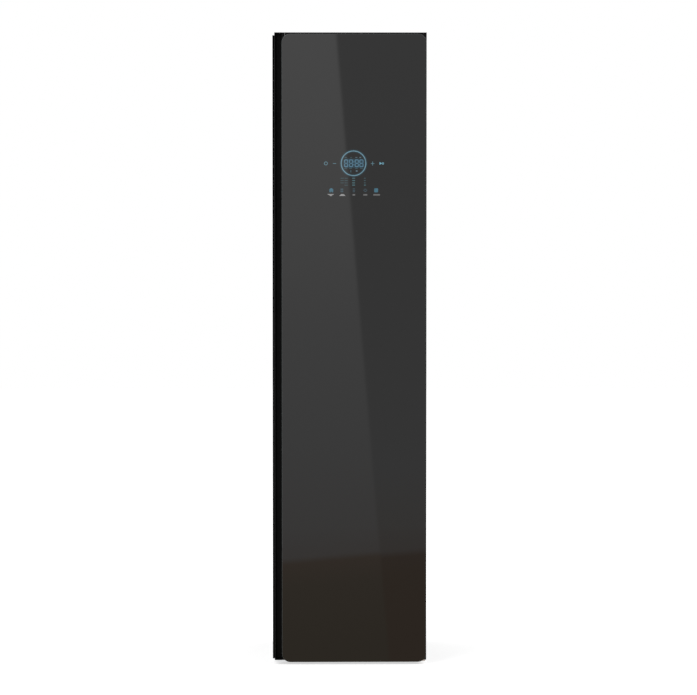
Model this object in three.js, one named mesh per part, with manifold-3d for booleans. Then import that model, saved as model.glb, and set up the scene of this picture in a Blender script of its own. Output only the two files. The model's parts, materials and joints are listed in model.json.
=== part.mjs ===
// Clothes care steam cabinet: a tall, slim steel cabinet with a black glass door on a right-hand hinge.
// Millimetres, +Z up, the door faces -Y, the origin is the middle of the footprint on the floor.
import * as THREE from "three";
import { mergeVertices } from "three/addons/utils/BufferGeometryUtils.js";
import Module from "manifold-3d";

const wasm = await Module();
wasm.setup();

// Overall size
const cabinetWidth = 450;
const cabinetDepth = 585;
const cabinetHeight = 1850;
const deckHeight = 302;

// Clearances and shared thicknesses
const seatGap = 0.3;
const runGap = 1.5;
const cutOverrun = 5;
const sheet = 1;
const mouldWall = 2.5;

// Counts and facets
const wideSides = 24;
const roundSides = 16;
const smallSides = 10;
const pipeSides = 6;
const nutSides = 6;
const slotArcSteps = 1;

// Door: glass, frame, grip, liner, seal
const doorDepth = 42.5;
const doorRise = 1;
const doorSideReveal = 5.5;
const sealGap = 8;
const glassThickness = 4;
const glassCornerRadius = 24;
const glassBevel = 1;
const glassTopReveal = 4;
const glassBottomDrop = 6;
const gripStripWidth = 27;
const gripUndercut = 6;
const gripWall = 3;
const gripDepth = 26;
const gripRound = 5;
const gripLipSetback = 2;
const frameWall = 3;
const frameTopWall = 8.2;
const linerPlate = 2.5;
const linerFieldRise = 4;
const linerFieldMargin = 26;
const linerBandHeight = 90;
const linerBandRise = 1.5;
const linerBandCount = 4;
const gasketWidth = 12;
const gasketLipWidth = 6;
const gasketBaseRise = 3;
const gasketMargin = 13;
const gasketSideInset = 19;
const gasketCornerRadius = 14;

// Display module behind the glass
const displayWidth = 160;
const displayHeight = 190;
const displayDepth = 14;
const displayCentreHeight = 1448;
const displayFlange = 4;
const displayFlangeThickness = 3;
const displaySocketWidth = 40;
const displaySocketHeight = 12;
const displaySocketDepth = 4;

// Door hinge
const hingeInset = 12;
const hingeFromBack = 14;
const hingeRoom = 18;
const hingePlate = 4;
const hingePlateWidth = 22;
const hingePinRadius = 4;
const hingeMountWidth = 66;
const hingeMountLength = 80;
const hingeBottomLength = 60;
const hingeBlockHeight = 30;
const hingeOuterInset = 3;
const hingeScrewCount = 3;
const bushWall = 3;
const bushHeight = 13;
const screwHeadRadius = 4.5;
const screwHeadDepth = 2;
const coverWall = 1.6;

// Outer cabinet
const topStep = 7;
const footHeight = 12;
const flangeFront = 22;
const flangeRear = 18;
const flangeTop = 20;
const louvreDepth = 3;
const louvreOuterRoom = 190;
const louvreWidth = (cabinetWidth - louvreOuterRoom) / 2;
const louvreHeight = 14;
const louvreSlot = 5;
const louvrePitch = 26;
const louvreRowCount = 8;
const louvreColumnCount = 2;
const louvreBottom = 70;
const louvreColumnGap = 40;
const louvreColumnPitch = louvreWidth + louvreColumnGap;
const rearRibWidth = 26;
const rearRibCount = 3;
const rearRibPitch = 130;
const rearRibBottom = 620;
const rearRibTopInset = 90;
const topBeadWidth = 16;
const topBeadRise = 2;
const topBeadPitch = 150;
const topBeadInset = 120;

// Base and feet
const baseRail = 40;
const baseFloor = 2;
const footInsetX = 50;
const footInsetFront = 142;
const footInsetRear = 52;
const footPadRadius = 20;
const footPadHeight = 6;
const footNutRadius = 11;
const footNutHeight = 4.5;
const footStudRadius = 5;
const footStudTop = 32;
const footBossWall = 6;
const footBossHeight = 14;

// Front frame around the two mouths
const frontFrameDepth = 10;
const mouthCorner = 12;
const plinthRecess = 2;
const plinthMargin = 14;

// Clothes chamber
const chamberSideRoom = 35;
const chamberWidth = cabinetWidth - 2 * chamberSideRoom;
const chamberRearRoom = 120;
const chamberDepth = cabinetDepth - chamberRearRoom;
const chamberFloorRise = 254;
const chamberFloorHeight = deckHeight + chamberFloorRise;
const chamberTopRoom = 90;
const chamberTopHeight = cabinetHeight - chamberTopRoom;
const floorPlate = 12;
const floorPanelMargin = 24;
const floorPanelRise = 1.5;
const outletBarCount = 5;
const linerLedge = 8;
const insulationTop = 22;
const shelfRise = 150;
const shelfHeight = chamberFloorHeight + shelfRise;
const shelfThickness = 10;
const shelfLedgeWidth = 6;
const shelfLedgeHeight = 7;
const shelfLedgeFront = 36;
const shelfLedgeRear = 20;
const shelfSideGap = 3;
const shelfFrontSetback = 42;
const shelfRearSetback = 26;
const shelfRim = 16;
const shelfSlotWidth = 16;
const shelfSlotCount = 9;
const shelfCrossRib = 10;
const lampWidth = 110;
const lampDepth = 26;
const lampThickness = 5;
const lampSetback = 20;
const lampRound = 6;

// Hanger drive under the chamber ceiling
const housingSideRoom = 25;
const housingWidth = chamberWidth - 2 * housingSideRoom;
const housingFront = 52;
const housingRear = 96;
const housingHeight = 38;
const housingCorner = 12;
const rodRadius = 4;
const rodFrontY = -28;
const rodRearY = 4;
const rodBelowCeiling = 20;
const carriageWidth = 110;
const carriageHeight = 14;
const carriageFrontY = -38;
const carriageRearY = 36;
const barEndRoom = 15;
const barLength = housingWidth - 2 * barEndRoom;
const barHeight = 12;
const barThickness = 12;
const barBelowCeiling = 58;
const barNotchCount = 5;
const barNotchPitch = 50;
const barNotchWidth = 9;
const barNotchDepth = 4;
const postRadius = 5;
const postPitch = 90;
const barCentreY = -12;
const hangerTravel = 17;
const rockerReach = 40;
const rockerPivotY = 60;
const rockerWidth = 16;
const rockerThickness = 4;
const rockerPinRadius = 3;
const rockerShaftRadius = 4;
const rockerSlotLength = 16;
const hangerMotorRadius = 26;
const hangerMotorHeight = 34;
const hangerMotorPlate = 2;
const hangerMotorPlateWidth = 120;
const hangerMotorPlateDepth = 80;
const hangerMotorBore = 8;

// Machine deck, tank bay and tanks
const deckLegInset = 9;
const deckPlate = 2;
const bayDepth = 187;
const bayDivider = 2.5;
const tankFrontSetback = 36;
const tankWall = 2.5;
const tankHeight = 190;
const tankCorner = 10;
const tankLid = 10;
const tankLidLip = 4;
const tankLidLipDepth = 5;
const tankGripWidth = 90;
const tankGripHeight = 32;
const tankGripDepth = 14;
const tankFloorGap = 0.6;
const capRadius = 16;
const capHeight = 7;

// Lint filter in the chamber floor
const filterSideRoom = 95;
const filterWidth = chamberWidth - 2 * filterSideRoom;
const filterDepth = 44;
const filterDrop = 46;
const filterFlange = 6;
const filterFlangeHeight = 4;
const filterFromDuctSide = 43;
const filterFromDuctFront = 16;
const filterWall = 3;
const filterBarWidth = 3;
const filterBarCount = 8;
const filterHandleWidth = 24;
const filterHandleHeight = 12;
const filterHandleThickness = 6;

// Steam and water
const boilerWidth = 130;
const boilerDepth = 110;
const boilerHeight = 110;
const boilerLeft = 45;
const boilerFront = 60;
const boilerRound = 14;
const boilerFlange = 8;
const boilerFlangeHeight = 8;
const boilerRibCount = 6;
const boilerRibWidth = 4;
const boilerRibDepth = 5;
const boilerFoot = 14;
const steamPipeRadius = 5;
const nozzleSideRoom = 125;
const nozzleFromBay = 12.5;
const nozzleStem = 7;
const nozzleStemLength = 18;
const nozzleCap = 18;
const nozzleCapHeight = 15;
const nozzleRim = 3;
const pumpRadius = 24;
const pumpLength = 62;
const pumpHeadRadius = 28;
const pumpHeadLength = 18;
const pumpPortRadius = 5;
const pumpPortLength = 16;
const pumpBase = 8;
const waterPumpShare = 0.2;
const drainPumpShare = 0.55;
const pumpFrontRoom = 51.7;
const pumpAxisHeight = 34;
const hoseRadius = 4.5;
const hoseRise = 20;

// Heat pump
const compressorRadius = 58;
const compressorHeight = 185;
const compressorDome = 26;
const compressorSideRoom = 130;
const compressorRearRoom = 156.9;
const compressorFootRadius = 86;
const compressorFootPlate = 3;
const compressorMountRadius = 11;
const compressorMountHeight = 14;
const compressorStubRadius = 6;
const compressorStubLength = 16;
const suctionRadius = 5;
const ductSideRoom = 40;
const ductBlowerRoom = 137;
const ductBayRoom = 24.7;
const ductRearRoom = 41.9;
const ductWall = 3;
const ductMouthDepth = 63;
const coilRoomLeft = 25;
const coilRoomRight = 28;
const coilDepth = 40;
const coilFinCount = 9;
const coilFin = 1.2;
const coilEndPlate = 2;
const coilTube = 4;
const coilPassCount = 3;
const evaporatorFromDuct = 72;
const coilPitch = 48;
const coilHeadroom = 6;

// Blower
const blowerRearRoom = 108.9;
const blowerAxisRise = 126;
const blowerAxisHeight = deckHeight + blowerAxisRise;
const blowerWidth = 62;
const voluteStart = 82;
const voluteEnd = 110;
const voluteTongueDegrees = 140;
const voluteSteps = 26;
const inletRadius = 60;
const impellerRadius = 74;
const impellerBladeDepth = 15;
const impellerWidth = 50;
const impellerBladeCount = 24;
const impellerBladeThickness = 1.8;
const impellerBladeDegrees = 16;
const impellerBladeSteps = 2;
const impellerDisc = 3;
const impellerRing = 3;
const impellerHub = 14;
const impellerShaft = 4;
const impellerShaftLength = 22;
const blowerMotorRadius = 40;
const blowerMotorLength = 42;
const blowerMotorCanShare = 0.6;
const blowerMotorEar = 12;
const blowerMotorEarThickness = 4;

// Electrics
const controlDepth = 110;
const controlThickness = 44;
const controlFrontY = -10;
const controlBottom = 60;
const controlBelowDeck = 52;
const controlHeight = deckHeight - controlBottom - controlBelowDeck;
const controlRibCount = 6;
const controlRibWidth = 3;
const controlRibRise = 3;
const glandRadius = 11;
const glandFlange = 15;
const glandFlangeThickness = 2;
const glandLength = 20;
const glandSideRoom = 45;
const glandBelowDeck = 52;
const glandHeight = deckHeight - glandBelowDeck;
const glandBore = 4.5;

// Levels along Y, front to back
const glassFront = -cabinetDepth / 2;
const glassBack = glassFront + glassThickness;
const doorFront = glassBack + seatGap;
const doorBack = glassFront + doorDepth;
const bodyFront = doorBack + sealGap;
const bodyBack = cabinetDepth / 2;
const rearSkinBack = bodyBack - louvreDepth;
const rearSkinFront = rearSkinBack - sheet;
const sideRear = rearSkinFront - seatGap;
const frameBack = bodyFront + frontFrameDepth;
const innerFront = frameBack + seatGap;
const innerRear = sideRear - sheet - seatGap;
const bayRear = innerFront + bayDepth;
const nozzleY = bayRear + nozzleFromBay;
const ductFrontY = bayRear + ductBayRoom;
const ductRearY = innerRear - ductRearRoom;
const filterFrontY = ductFrontY + filterFromDuctFront;
const evaporatorY = ductFrontY + evaporatorFromDuct;
const condenserY = evaporatorY + coilPitch;
const blowerY = innerRear - blowerRearRoom;
const compressorY = innerRear - compressorRearRoom;
const pumpFrontY = innerFront + pumpFrontRoom;

// Levels along X, left to right
const side = cabinetWidth / 2;
const sideInner = side - sheet - seatGap;
const doorLeft = -side + doorSideReveal;
const doorRight = side;
const glassLeft = -side + gripStripWidth;
const glassRight = side - seatGap;
const glassCentre = (glassLeft + glassRight) / 2;
const gripRight = glassLeft + gripUndercut + gripWall;
const frameLeft = gripRight + seatGap;
const flangeEdge = side - flangeFront - seatGap;
const chamberSide = chamberWidth / 2;
const linerOuter = chamberSide + mouldWall;
const nozzleX = -side + nozzleSideRoom;
const ductLeft = -side + ductSideRoom;
const ductRight = side - ductBlowerRoom;
const coilLeft = ductLeft + coilRoomLeft;
const coilRight = ductRight - coilRoomRight;
const filterCentreX = ductRight - filterFromDuctSide - filterWidth / 2;
const compressorX = -side + compressorSideRoom;
const suctionX = compressorX + compressorRadius / 2;
const glandX = side - glandSideRoom;
const deckLeg = sideInner - deckLegInset;
const boilerX = -deckLeg + deckPlate + boilerLeft;
const pumpsFrom = boilerX + boilerWidth + boilerFlange;
const pumpsRoom = deckLeg - deckPlate - pumpsFrom;
const waterPumpX = pumpsFrom + waterPumpShare * pumpsRoom;
const drainPumpX = pumpsFrom + drainPumpShare * pumpsRoom;

// Levels along Z, floor to top
const baseBottom = footHeight;
const doorBottom = baseBottom + doorRise;
const doorTop = cabinetHeight;
const glassBottom = doorBottom - glassBottomDrop;
const glassTop = doorTop - glassTopReveal;
const bodyTop = cabinetHeight - topStep;
const topUnderside = bodyTop - sheet;
const wallTop = topUnderside - seatGap;
const frameTop = bodyTop - flangeTop - seatGap;
const baseFloorTop = baseBottom + baseFloor;
const deckTop = deckHeight;
const bayFloor = deckTop + seatGap;
const chamberFloorBottom = chamberFloorHeight - floorPlate;
const floorPanelTop = chamberFloorHeight + floorPanelRise;
const linerBottom = chamberFloorBottom - seatGap - mouldWall;
const bayTop = linerBottom - seatGap;
const ceilingUnderside = chamberTopHeight - seatGap;
const linerTop = chamberTopHeight + mouldWall;
const insulationTopTop = linerTop + seatGap + insulationTop;
const chamberFront = innerFront;
const chamberBack = chamberFront + chamberDepth;

// Hinge axis of the door
const hingeX = doorRight - hingeInset;
const hingeY = doorBack - hingeFromBack;
const notchFloor = doorTop - frameTopWall;

// Solids and cuts
function solidFrom(geometry) {
  const bare = geometry.clone();
  bare.deleteAttribute("normal");
  bare.deleteAttribute("uv");
  const merged = mergeVertices(bare);
  const places = merged.attributes.position;
  const corners = [];
  let volume = 0;
  const [a, b, c] = [new THREE.Vector3(), new THREE.Vector3(), new THREE.Vector3()];
  for (let i = 0; i < merged.index.count; i += 3) {
    const [p, q, r] = [0, 1, 2].map((step) => merged.index.getX(i + step));
    if (p === q || q === r || r === p) continue;
    corners.push(p, q, r);
    a.fromBufferAttribute(places, p);
    b.fromBufferAttribute(places, q);
    c.fromBufferAttribute(places, r);
    volume += a.dot(b.cross(c));
  }
  if (volume < 0) corners.reverse();
  return new wasm.Manifold(new wasm.Mesh({
    numProp: 3,
    vertProperties: new Float32Array(places.array),
    triVerts: new Uint32Array(corners),
  }));
}

function block([x0, x1], [y0, y1], [z0, z1]) {
  const geometry = new THREE.BoxGeometry(x1 - x0, y1 - y0, z1 - z0);
  geometry.translate((x0 + x1) / 2, (y0 + y1) / 2, (z0 + z1) / 2);
  return solidFrom(geometry);
}

// An outline carried along an axis: its two coordinates are (y, z) along x, (x, z) along y and (x, y) along z
const outlineAxes = {
  x: new THREE.Matrix4().set(0, 0, 1, 0, 1, 0, 0, 0, 0, 1, 0, 0, 0, 0, 0, 1),
  y: new THREE.Matrix4().set(1, 0, 0, 0, 0, 0, 1, 0, 0, 1, 0, 0, 0, 0, 0, 1),
  z: new THREE.Matrix4(),
};

function prism(axis, shape, from, to, curveSegments = roundSides / 8) {
  const geometry = new THREE.ExtrudeGeometry(shape, { depth: to - from, bevelEnabled: false, curveSegments });
  geometry.translate(0, 0, from);
  geometry.applyMatrix4(outlineAxes[axis]);
  return solidFrom(geometry);
}

function polygon(points) {
  return new THREE.Shape(points.map(([u, v]) => new THREE.Vector2(u, v)));
}

function roundedRectangle([u0, u1], [v0, v1], radius) {
  const r = Math.min(radius, (u1 - u0) / 2, (v1 - v0) / 2);
  const shape = new THREE.Shape();
  shape.moveTo(u0 + r, v0);
  shape.lineTo(u1 - r, v0);
  shape.absarc(u1 - r, v0 + r, r, -Math.PI / 2, 0);
  shape.lineTo(u1, v1 - r);
  shape.absarc(u1 - r, v1 - r, r, 0, Math.PI / 2);
  shape.lineTo(u0 + r, v1);
  shape.absarc(u0 + r, v1 - r, r, Math.PI / 2, Math.PI);
  shape.lineTo(u0, v0 + r);
  shape.absarc(u0 + r, v0 + r, r, Math.PI, 1.5 * Math.PI);
  return shape;
}

// A profile of radius and height turned about an axis; it starts and ends on the axis or closes
function turned(axis, [x, y, z], profile, sides = roundSides) {
  const geometry = new THREE.LatheGeometry(profile.map(([r, h]) => new THREE.Vector2(r, h)), sides);
  if (axis === "z") geometry.rotateX(Math.PI / 2);
  if (axis === "x") geometry.rotateZ(-Math.PI / 2);
  geometry.translate(x, y, z);
  return solidFrom(geometry);
}

function rod(axis, centre, radius, from, to, sides = roundSides) {
  return turned(axis, centre, [[0, from], [radius, from], [radius, to], [0, to]], sides);
}

function ring(axis, centre, inner, outer, from, to, sides = roundSides) {
  return turned(axis, centre, [[inner, from], [outer, from], [outer, to], [inner, to], [inner, from]], sides);
}

// A round tube along straight runs joined by bends of one radius
function pipe(points, radius, bend, sides = pipeSides) {
  const path = new THREE.CurvePath();
  const spots = points.map((point) => new THREE.Vector3(...point));
  let start = spots[0];
  for (let i = 1; i < spots.length - 1; i += 1) {
    const back = spots[i - 1].clone().sub(spots[i]).setLength(bend).add(spots[i]);
    const ahead = spots[i + 1].clone().sub(spots[i]).setLength(bend).add(spots[i]);
    path.add(new THREE.LineCurve3(start, back));
    path.add(new THREE.QuadraticBezierCurve3(back, spots[i], ahead));
    start = ahead;
  }
  path.add(new THREE.LineCurve3(start, spots[spots.length - 1]));
  const steps = Math.ceil(path.getLength() / (3 * radius));
  const section = new THREE.Shape().absarc(0, 0, radius, 0, 2 * Math.PI);
  const geometry = new THREE.ExtrudeGeometry(section, { steps, extrudePath: path, curveSegments: sides / 2 });
  return solidFrom(geometry);
}

function join(...solids) {
  return solids.reduce((whole, next) => whole.add(next));
}

function cut(whole, ...tools) {
  return tools.reduce((rest, tool) => rest.subtract(tool), whole);
}

function range(count) {
  return Array.from({ length: count }, (_, index) => index);
}

// Evenly spaced places about a middle
function spread(count, pitch, middle = 0) {
  return range(count).map((index) => middle + (index - (count - 1) / 2) * pitch);
}

// Finishes
const finishes = {
  paint: { color: 0x1b1b1c, roughness: 0.45, metalness: 0.2 },
  glass: { color: 0x08080a, roughness: 0.04, metalness: 0 },
  zinc: { color: 0xa9adb0, roughness: 0.4, metalness: 1 },
  steel: { color: 0xb9bcc0, roughness: 0.25, metalness: 1 },
  copper: { color: 0xb87345, roughness: 0.3, metalness: 1 },
  aluminium: { color: 0xc9ccd0, roughness: 0.35, metalness: 1 },
  darkMould: { color: 0x161617, roughness: 0.5, metalness: 0 },
  paleMould: { color: 0xd4d6d8, roughness: 0.4, metalness: 0 },
  greyMould: { color: 0x8b9096, roughness: 0.5, metalness: 0 },
  clearMould: { color: 0xc4d6e4, roughness: 0.15, metalness: 0 },
  foam: { color: 0xe9e6da, roughness: 0.9, metalness: 0 },
  rubber: { color: 0x2a2b2d, roughness: 0.8, metalness: 0 },
  enamel: { color: 0x101112, roughness: 0.3, metalness: 0.3 },
};

const cabinet = new THREE.Group();
const door = new THREE.Group();
cabinet.add(door);

function add(group, name, solid, finish) {
  const made = solid.getMesh();
  const geometry = new THREE.BufferGeometry();
  geometry.setAttribute("position", new THREE.BufferAttribute(new Float32Array(made.vertProperties), 3));
  geometry.setIndex(new THREE.BufferAttribute(new Uint32Array(made.triVerts), 1));
  geometry.computeVertexNormals();
  const mesh = new THREE.Mesh(geometry, new THREE.MeshStandardMaterial(finishes[finish]));
  mesh.name = name;
  group.add(mesh);
}

// Door glass: a plate with round corners and ground edges
function doorGlass() {
  const face = roundedRectangle(
    [glassLeft + glassBevel, glassRight - glassBevel],
    [glassBottom + glassBevel, glassTop - glassBevel],
    glassCornerRadius - glassBevel,
  );
  const geometry = new THREE.ExtrudeGeometry(face, {
    depth: glassThickness - 2 * glassBevel,
    bevelEnabled: true,
    bevelSegments: 1,
    bevelThickness: glassBevel,
    bevelSize: glassBevel,
    curveSegments: wideSides / 8,
  });
  geometry.translate(0, 0, glassFront + glassBevel);
  geometry.applyMatrix4(outlineAxes.y);
  return solidFrom(geometry);
}

// Grip: a vertical finger channel, undercut behind the glass, its lip and floor rounded and both ends walled
function doorGrip() {
  const lipFront = glassFront + gripLipSetback;
  const floorY = glassFront + gripDepth;
  const body = new THREE.Shape();
  body.moveTo(doorLeft, doorBack);
  body.lineTo(doorLeft, lipFront + gripWall / 2);
  body.absarc(doorLeft + gripWall / 2, lipFront + gripWall / 2, gripWall / 2, Math.PI, 2 * Math.PI);
  body.lineTo(doorLeft + gripWall, floorY - gripRound);
  body.absarc(doorLeft + gripWall + gripRound, floorY - gripRound, gripRound, Math.PI, Math.PI / 2, true);
  body.lineTo(gripRight - gripWall - gripRound, floorY);
  body.absarc(gripRight - gripWall - gripRound, floorY - gripRound, gripRound, Math.PI / 2, 0, true);
  body.lineTo(gripRight - gripWall, doorFront + gripWall);
  body.lineTo(glassLeft + gripWall / 2, doorFront + gripWall);
  body.lineTo(glassLeft, doorFront);
  body.lineTo(gripRight, doorFront);
  body.lineTo(gripRight, doorBack);
  const end = polygon([
    [doorLeft + gripWall / 2, lipFront],
    [glassLeft - seatGap, lipFront],
    [glassLeft - seatGap, doorFront],
    [gripRight, doorFront],
    [gripRight, doorBack],
    [doorLeft + gripWall / 2, doorBack],
  ]);
  return join(
    prism("z", body, doorBottom, doorTop),
    prism("z", end, doorBottom, doorBottom + gripWall),
    prism("z", end, doorTop - gripWall, doorTop),
  );
}

// Frame: a tray behind the glass with a solid block for the bush at both hinge corners
function doorFrame() {
  const outer = block([frameLeft, doorRight], [doorFront, doorBack], [doorBottom, doorTop]);
  const hollow = block(
    [frameLeft + frameWall, doorRight - frameWall],
    [doorFront + mouldWall, doorBack + cutOverrun],
    [doorBottom + frameWall, notchFloor],
  );
  const blockSpan = [hingeX - hingeRoom - frameWall, doorRight];
  const blockDepth = [doorFront, doorBack - linerPlate - seatGap];
  const blocks = [
    block(blockSpan, blockDepth, [doorBottom, doorBottom + hingeBlockHeight]),
    block(blockSpan, blockDepth, [notchFloor - hingeBlockHeight, notchFloor + frameWall]),
  ];
  const notch = block(
    [hingeX - hingeRoom, doorRight + cutOverrun],
    [hingeY - hingeRoom, doorBack + cutOverrun],
    [notchFloor, doorTop + cutOverrun],
  );
  const window = block(
    [glassCentre - displayWidth / 2 - seatGap, glassCentre + displayWidth / 2 + seatGap],
    [doorFront - cutOverrun, doorFront + mouldWall + cutOverrun],
    [displayCentreHeight - displayHeight / 2 - seatGap, displayCentreHeight + displayHeight / 2 + seatGap],
  );
  const boreRadius = hingePinRadius + seatGap + bushWall + seatGap;
  const bore = (from, to) => rod("z", [hingeX, hingeY, 0], boreRadius, from, to);
  return cut(
    join(cut(outer, hollow), ...blocks),
    notch,
    window,
    bore(doorBottom - cutOverrun, doorBottom + bushHeight + seatGap),
    bore(notchFloor - bushHeight - seatGap, notchFloor + cutOverrun),
  );
}

function hingeBush(from, to) {
  const inner = hingePinRadius + seatGap;
  return ring("z", [hingeX, hingeY, 0], inner, inner + bushWall, from, to);
}

// Display module: a shallow case in the frame's window, with a flange behind the frame and a plug socket
function displayModule() {
  const halfWidth = displayWidth / 2;
  const halfHeight = displayHeight / 2;
  const flangeFrom = doorFront + mouldWall + seatGap;
  const socketFrom = doorFront + displayDepth - cutOverrun;
  return join(
    block(
      [glassCentre - halfWidth, glassCentre + halfWidth],
      [doorFront, doorFront + displayDepth],
      [displayCentreHeight - halfHeight, displayCentreHeight + halfHeight],
    ),
    block(
      [glassCentre - halfWidth - displayFlange, glassCentre + halfWidth + displayFlange],
      [flangeFrom, flangeFrom + displayFlangeThickness],
      [displayCentreHeight - halfHeight - displayFlange, displayCentreHeight + halfHeight + displayFlange],
    ),
    block(
      [glassCentre - displaySocketWidth / 2, glassCentre + displaySocketWidth / 2],
      [socketFrom, doorFront + displayDepth + displaySocketDepth],
      [displayCentreHeight - displaySocketHeight, displayCentreHeight],
    ),
  );
}

// Foam that fills the frame, with a pocket for the display module
function doorInsulation() {
  const front = doorFront + mouldWall + seatGap;
  const back = doorBack - linerPlate - seatGap;
  const slab = block(
    [frameLeft + frameWall + seatGap, doorRight - frameWall - seatGap],
    [front, back],
    [doorBottom + hingeBlockHeight + seatGap, notchFloor - hingeBlockHeight - seatGap],
  );
  const reach = displayFlange + seatGap;
  const pocket = block(
    [glassCentre - displayWidth / 2 - reach, glassCentre + displayWidth / 2 + reach],
    [front - cutOverrun, doorFront + displayDepth + displaySocketDepth + seatGap],
    [displayCentreHeight - displayHeight / 2 - reach, displayCentreHeight + displayHeight / 2 + reach],
  );
  return cut(slab, pocket);
}

// Inner panel of the door: a plate with a raised field inside the seal and shallow bands across it
function doorInnerLiner() {
  const left = frameLeft + frameWall + seatGap;
  const right = doorRight - frameWall - seatGap;
  const bottom = doorBottom + frameWall + seatGap;
  const top = notchFloor - seatGap;
  const fieldSide = flangeEdge - linerFieldMargin;
  const fieldBottom = bottom + linerFieldMargin + gasketMargin;
  const fieldTop = top - linerFieldMargin - gasketMargin;
  const plate = block([left, right], [doorBack - linerPlate, doorBack], [bottom, top]);
  const outline = roundedRectangle([-fieldSide, fieldSide], [fieldBottom, fieldTop], gasketCornerRadius);
  const field = prism("y", outline, doorBack - linerPlate / 2, doorBack + linerFieldRise);
  const bandPitch = (fieldTop - fieldBottom) / linerBandCount;
  const bands = spread(linerBandCount, bandPitch, (fieldTop + fieldBottom) / 2).map((z) => block(
    [-fieldSide + linerFieldMargin, fieldSide - linerFieldMargin],
    [doorBack + linerFieldRise - linerBandRise, doorBack + linerFieldRise + cutOverrun],
    [z - linerBandHeight, z + linerBandHeight],
  ));
  return cut(join(plate, field), ...bands);
}

// Seal: a ring with a wide foot on the door and a narrow lip towards the cabinet
function doorGasket() {
  const outerSide = side - gasketSideInset;
  const bottom = baseBottom + doorRise + gasketMargin;
  const top = bodyTop - gasketMargin;
  const band = (width, from, to) => {
    const inset = (gasketWidth - width) / 2;
    const loop = (shrink) => roundedRectangle(
      [-outerSide + shrink, outerSide - shrink],
      [bottom + shrink, top - shrink],
      gasketCornerRadius - shrink,
    );
    const outer = prism("y", loop(inset), from, to);
    return cut(outer, prism("y", loop(inset + width), from - cutOverrun, to + cutOverrun));
  };
  const from = doorBack + seatGap;
  return join(
    band(gasketWidth, from, from + gasketBaseRise),
    band(gasketLipWidth, from + gasketBaseRise / 2, bodyFront - seatGap),
  );
}

add(door, "door_glass", doorGlass(), "glass");
add(door, "door_grip", doorGrip(), "darkMould");
add(door, "door_frame", doorFrame(), "darkMould");
add(door, "display_module", displayModule(), "greyMould");
add(door, "door_insulation", doorInsulation(), "foam");
add(door, "door_inner_liner", doorInnerLiner(), "paleMould");
add(door, "door_gasket", doorGasket(), "rubber");
add(door, "top_hinge_bush", hingeBush(notchFloor - bushHeight, notchFloor), "greyMould");
add(door, "bottom_hinge_bush", hingeBush(doorBottom, doorBottom + bushHeight), "greyMould");

// Side panel: folded sheet with a flange turned in at the front and another at the rear
function sidePanel(hand) {
  const outer = hand * side;
  const inner = hand * (side - sheet);
  const shape = polygon([
    [outer, bodyFront],
    [hand * (side - flangeFront), bodyFront],
    [hand * (side - flangeFront), bodyFront + sheet],
    [inner, bodyFront + sheet],
    [inner, sideRear - sheet],
    [hand * (side - flangeRear), sideRear - sheet],
    [hand * (side - flangeRear), sideRear],
    [outer, sideRear],
  ]);
  return prism("z", shape, baseBottom, wallTop);
}

// Top panel: a tray turned down between the side flanges at the front, with two pressed beads
function topPanel() {
  const plate = block([-side, side], [bodyFront, rearSkinBack], [topUnderside, bodyTop]);
  const apron = block(
    [-flangeEdge, flangeEdge],
    [bodyFront, bodyFront + sheet],
    [bodyTop - flangeTop, topUnderside + sheet / 2],
  );
  const bead = (x) => {
    const outline = roundedRectangle(
      [x - topBeadWidth / 2, x + topBeadWidth / 2],
      [bodyFront + topBeadInset, rearSkinBack - topBeadInset / 2],
      topBeadWidth / 2,
    );
    return prism("z", outline, topUnderside + sheet / 2, bodyTop + topBeadRise);
  };
  return join(plate, apron, ...spread(2, topBeadPitch).map(bead));
}

// Rear cover: sheet with pressed ribs above and hooded louvres over the machine room
function rearCover() {
  const skin = block([-side + sheet, side - sheet], [rearSkinFront, rearSkinBack], [baseBottom, wallTop]);
  const ribs = spread(rearRibCount, rearRibPitch).map((x) => {
    const shape = polygon([
      [x - rearRibWidth / 2, rearSkinBack - sheet / 2],
      [x - rearRibWidth / 2 + louvreDepth, bodyBack],
      [x + rearRibWidth / 2 - louvreDepth, bodyBack],
      [x + rearRibWidth / 2, rearSkinBack - sheet / 2],
    ]);
    return prism("z", shape, rearRibBottom, wallTop - rearRibTopInset);
  });
  const hoods = [];
  const slots = [];
  for (const x of spread(louvreColumnCount, louvreColumnPitch, -louvreColumnPitch / 4)) {
    for (const row of range(louvreRowCount)) {
      const z = louvreBottom + row * louvrePitch;
      const span = [x - louvreWidth / 2, x + louvreWidth / 2];
      const hood = polygon([
        [rearSkinBack - sheet / 2, z + louvreHeight],
        [rearSkinBack, z + louvreHeight],
        [bodyBack, z + sheet],
        [bodyBack, z],
        [rearSkinBack - sheet / 2, z],
      ]);
      hoods.push(prism("x", hood, ...span));
      const slot = [rearSkinFront - cutOverrun, rearSkinBack + louvreDepth / 3];
      slots.push(block([span[0] + sheet, span[1] - sheet], slot, [z - cutOverrun, z + louvreSlot]));
    }
  }
  const glandHole = glandRadius + seatGap;
  const gland = rod("y", [glandX, 0, glandHeight], glandHole, rearSkinFront - cutOverrun, bodyBack);
  return cut(join(skin, ...ribs, ...hoods), ...slots, gland);
}

// Base: a folded tray with a boss over each foot
const footPlaces = [
  ["foot_front_left", -side + footInsetX, glassFront + footInsetFront],
  ["foot_front_right", side - footInsetX, glassFront + footInsetFront],
  ["foot_rear_left", -side + footInsetX, bodyBack - footInsetRear],
  ["foot_rear_right", side - footInsetX, bodyBack - footInsetRear],
];

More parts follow.
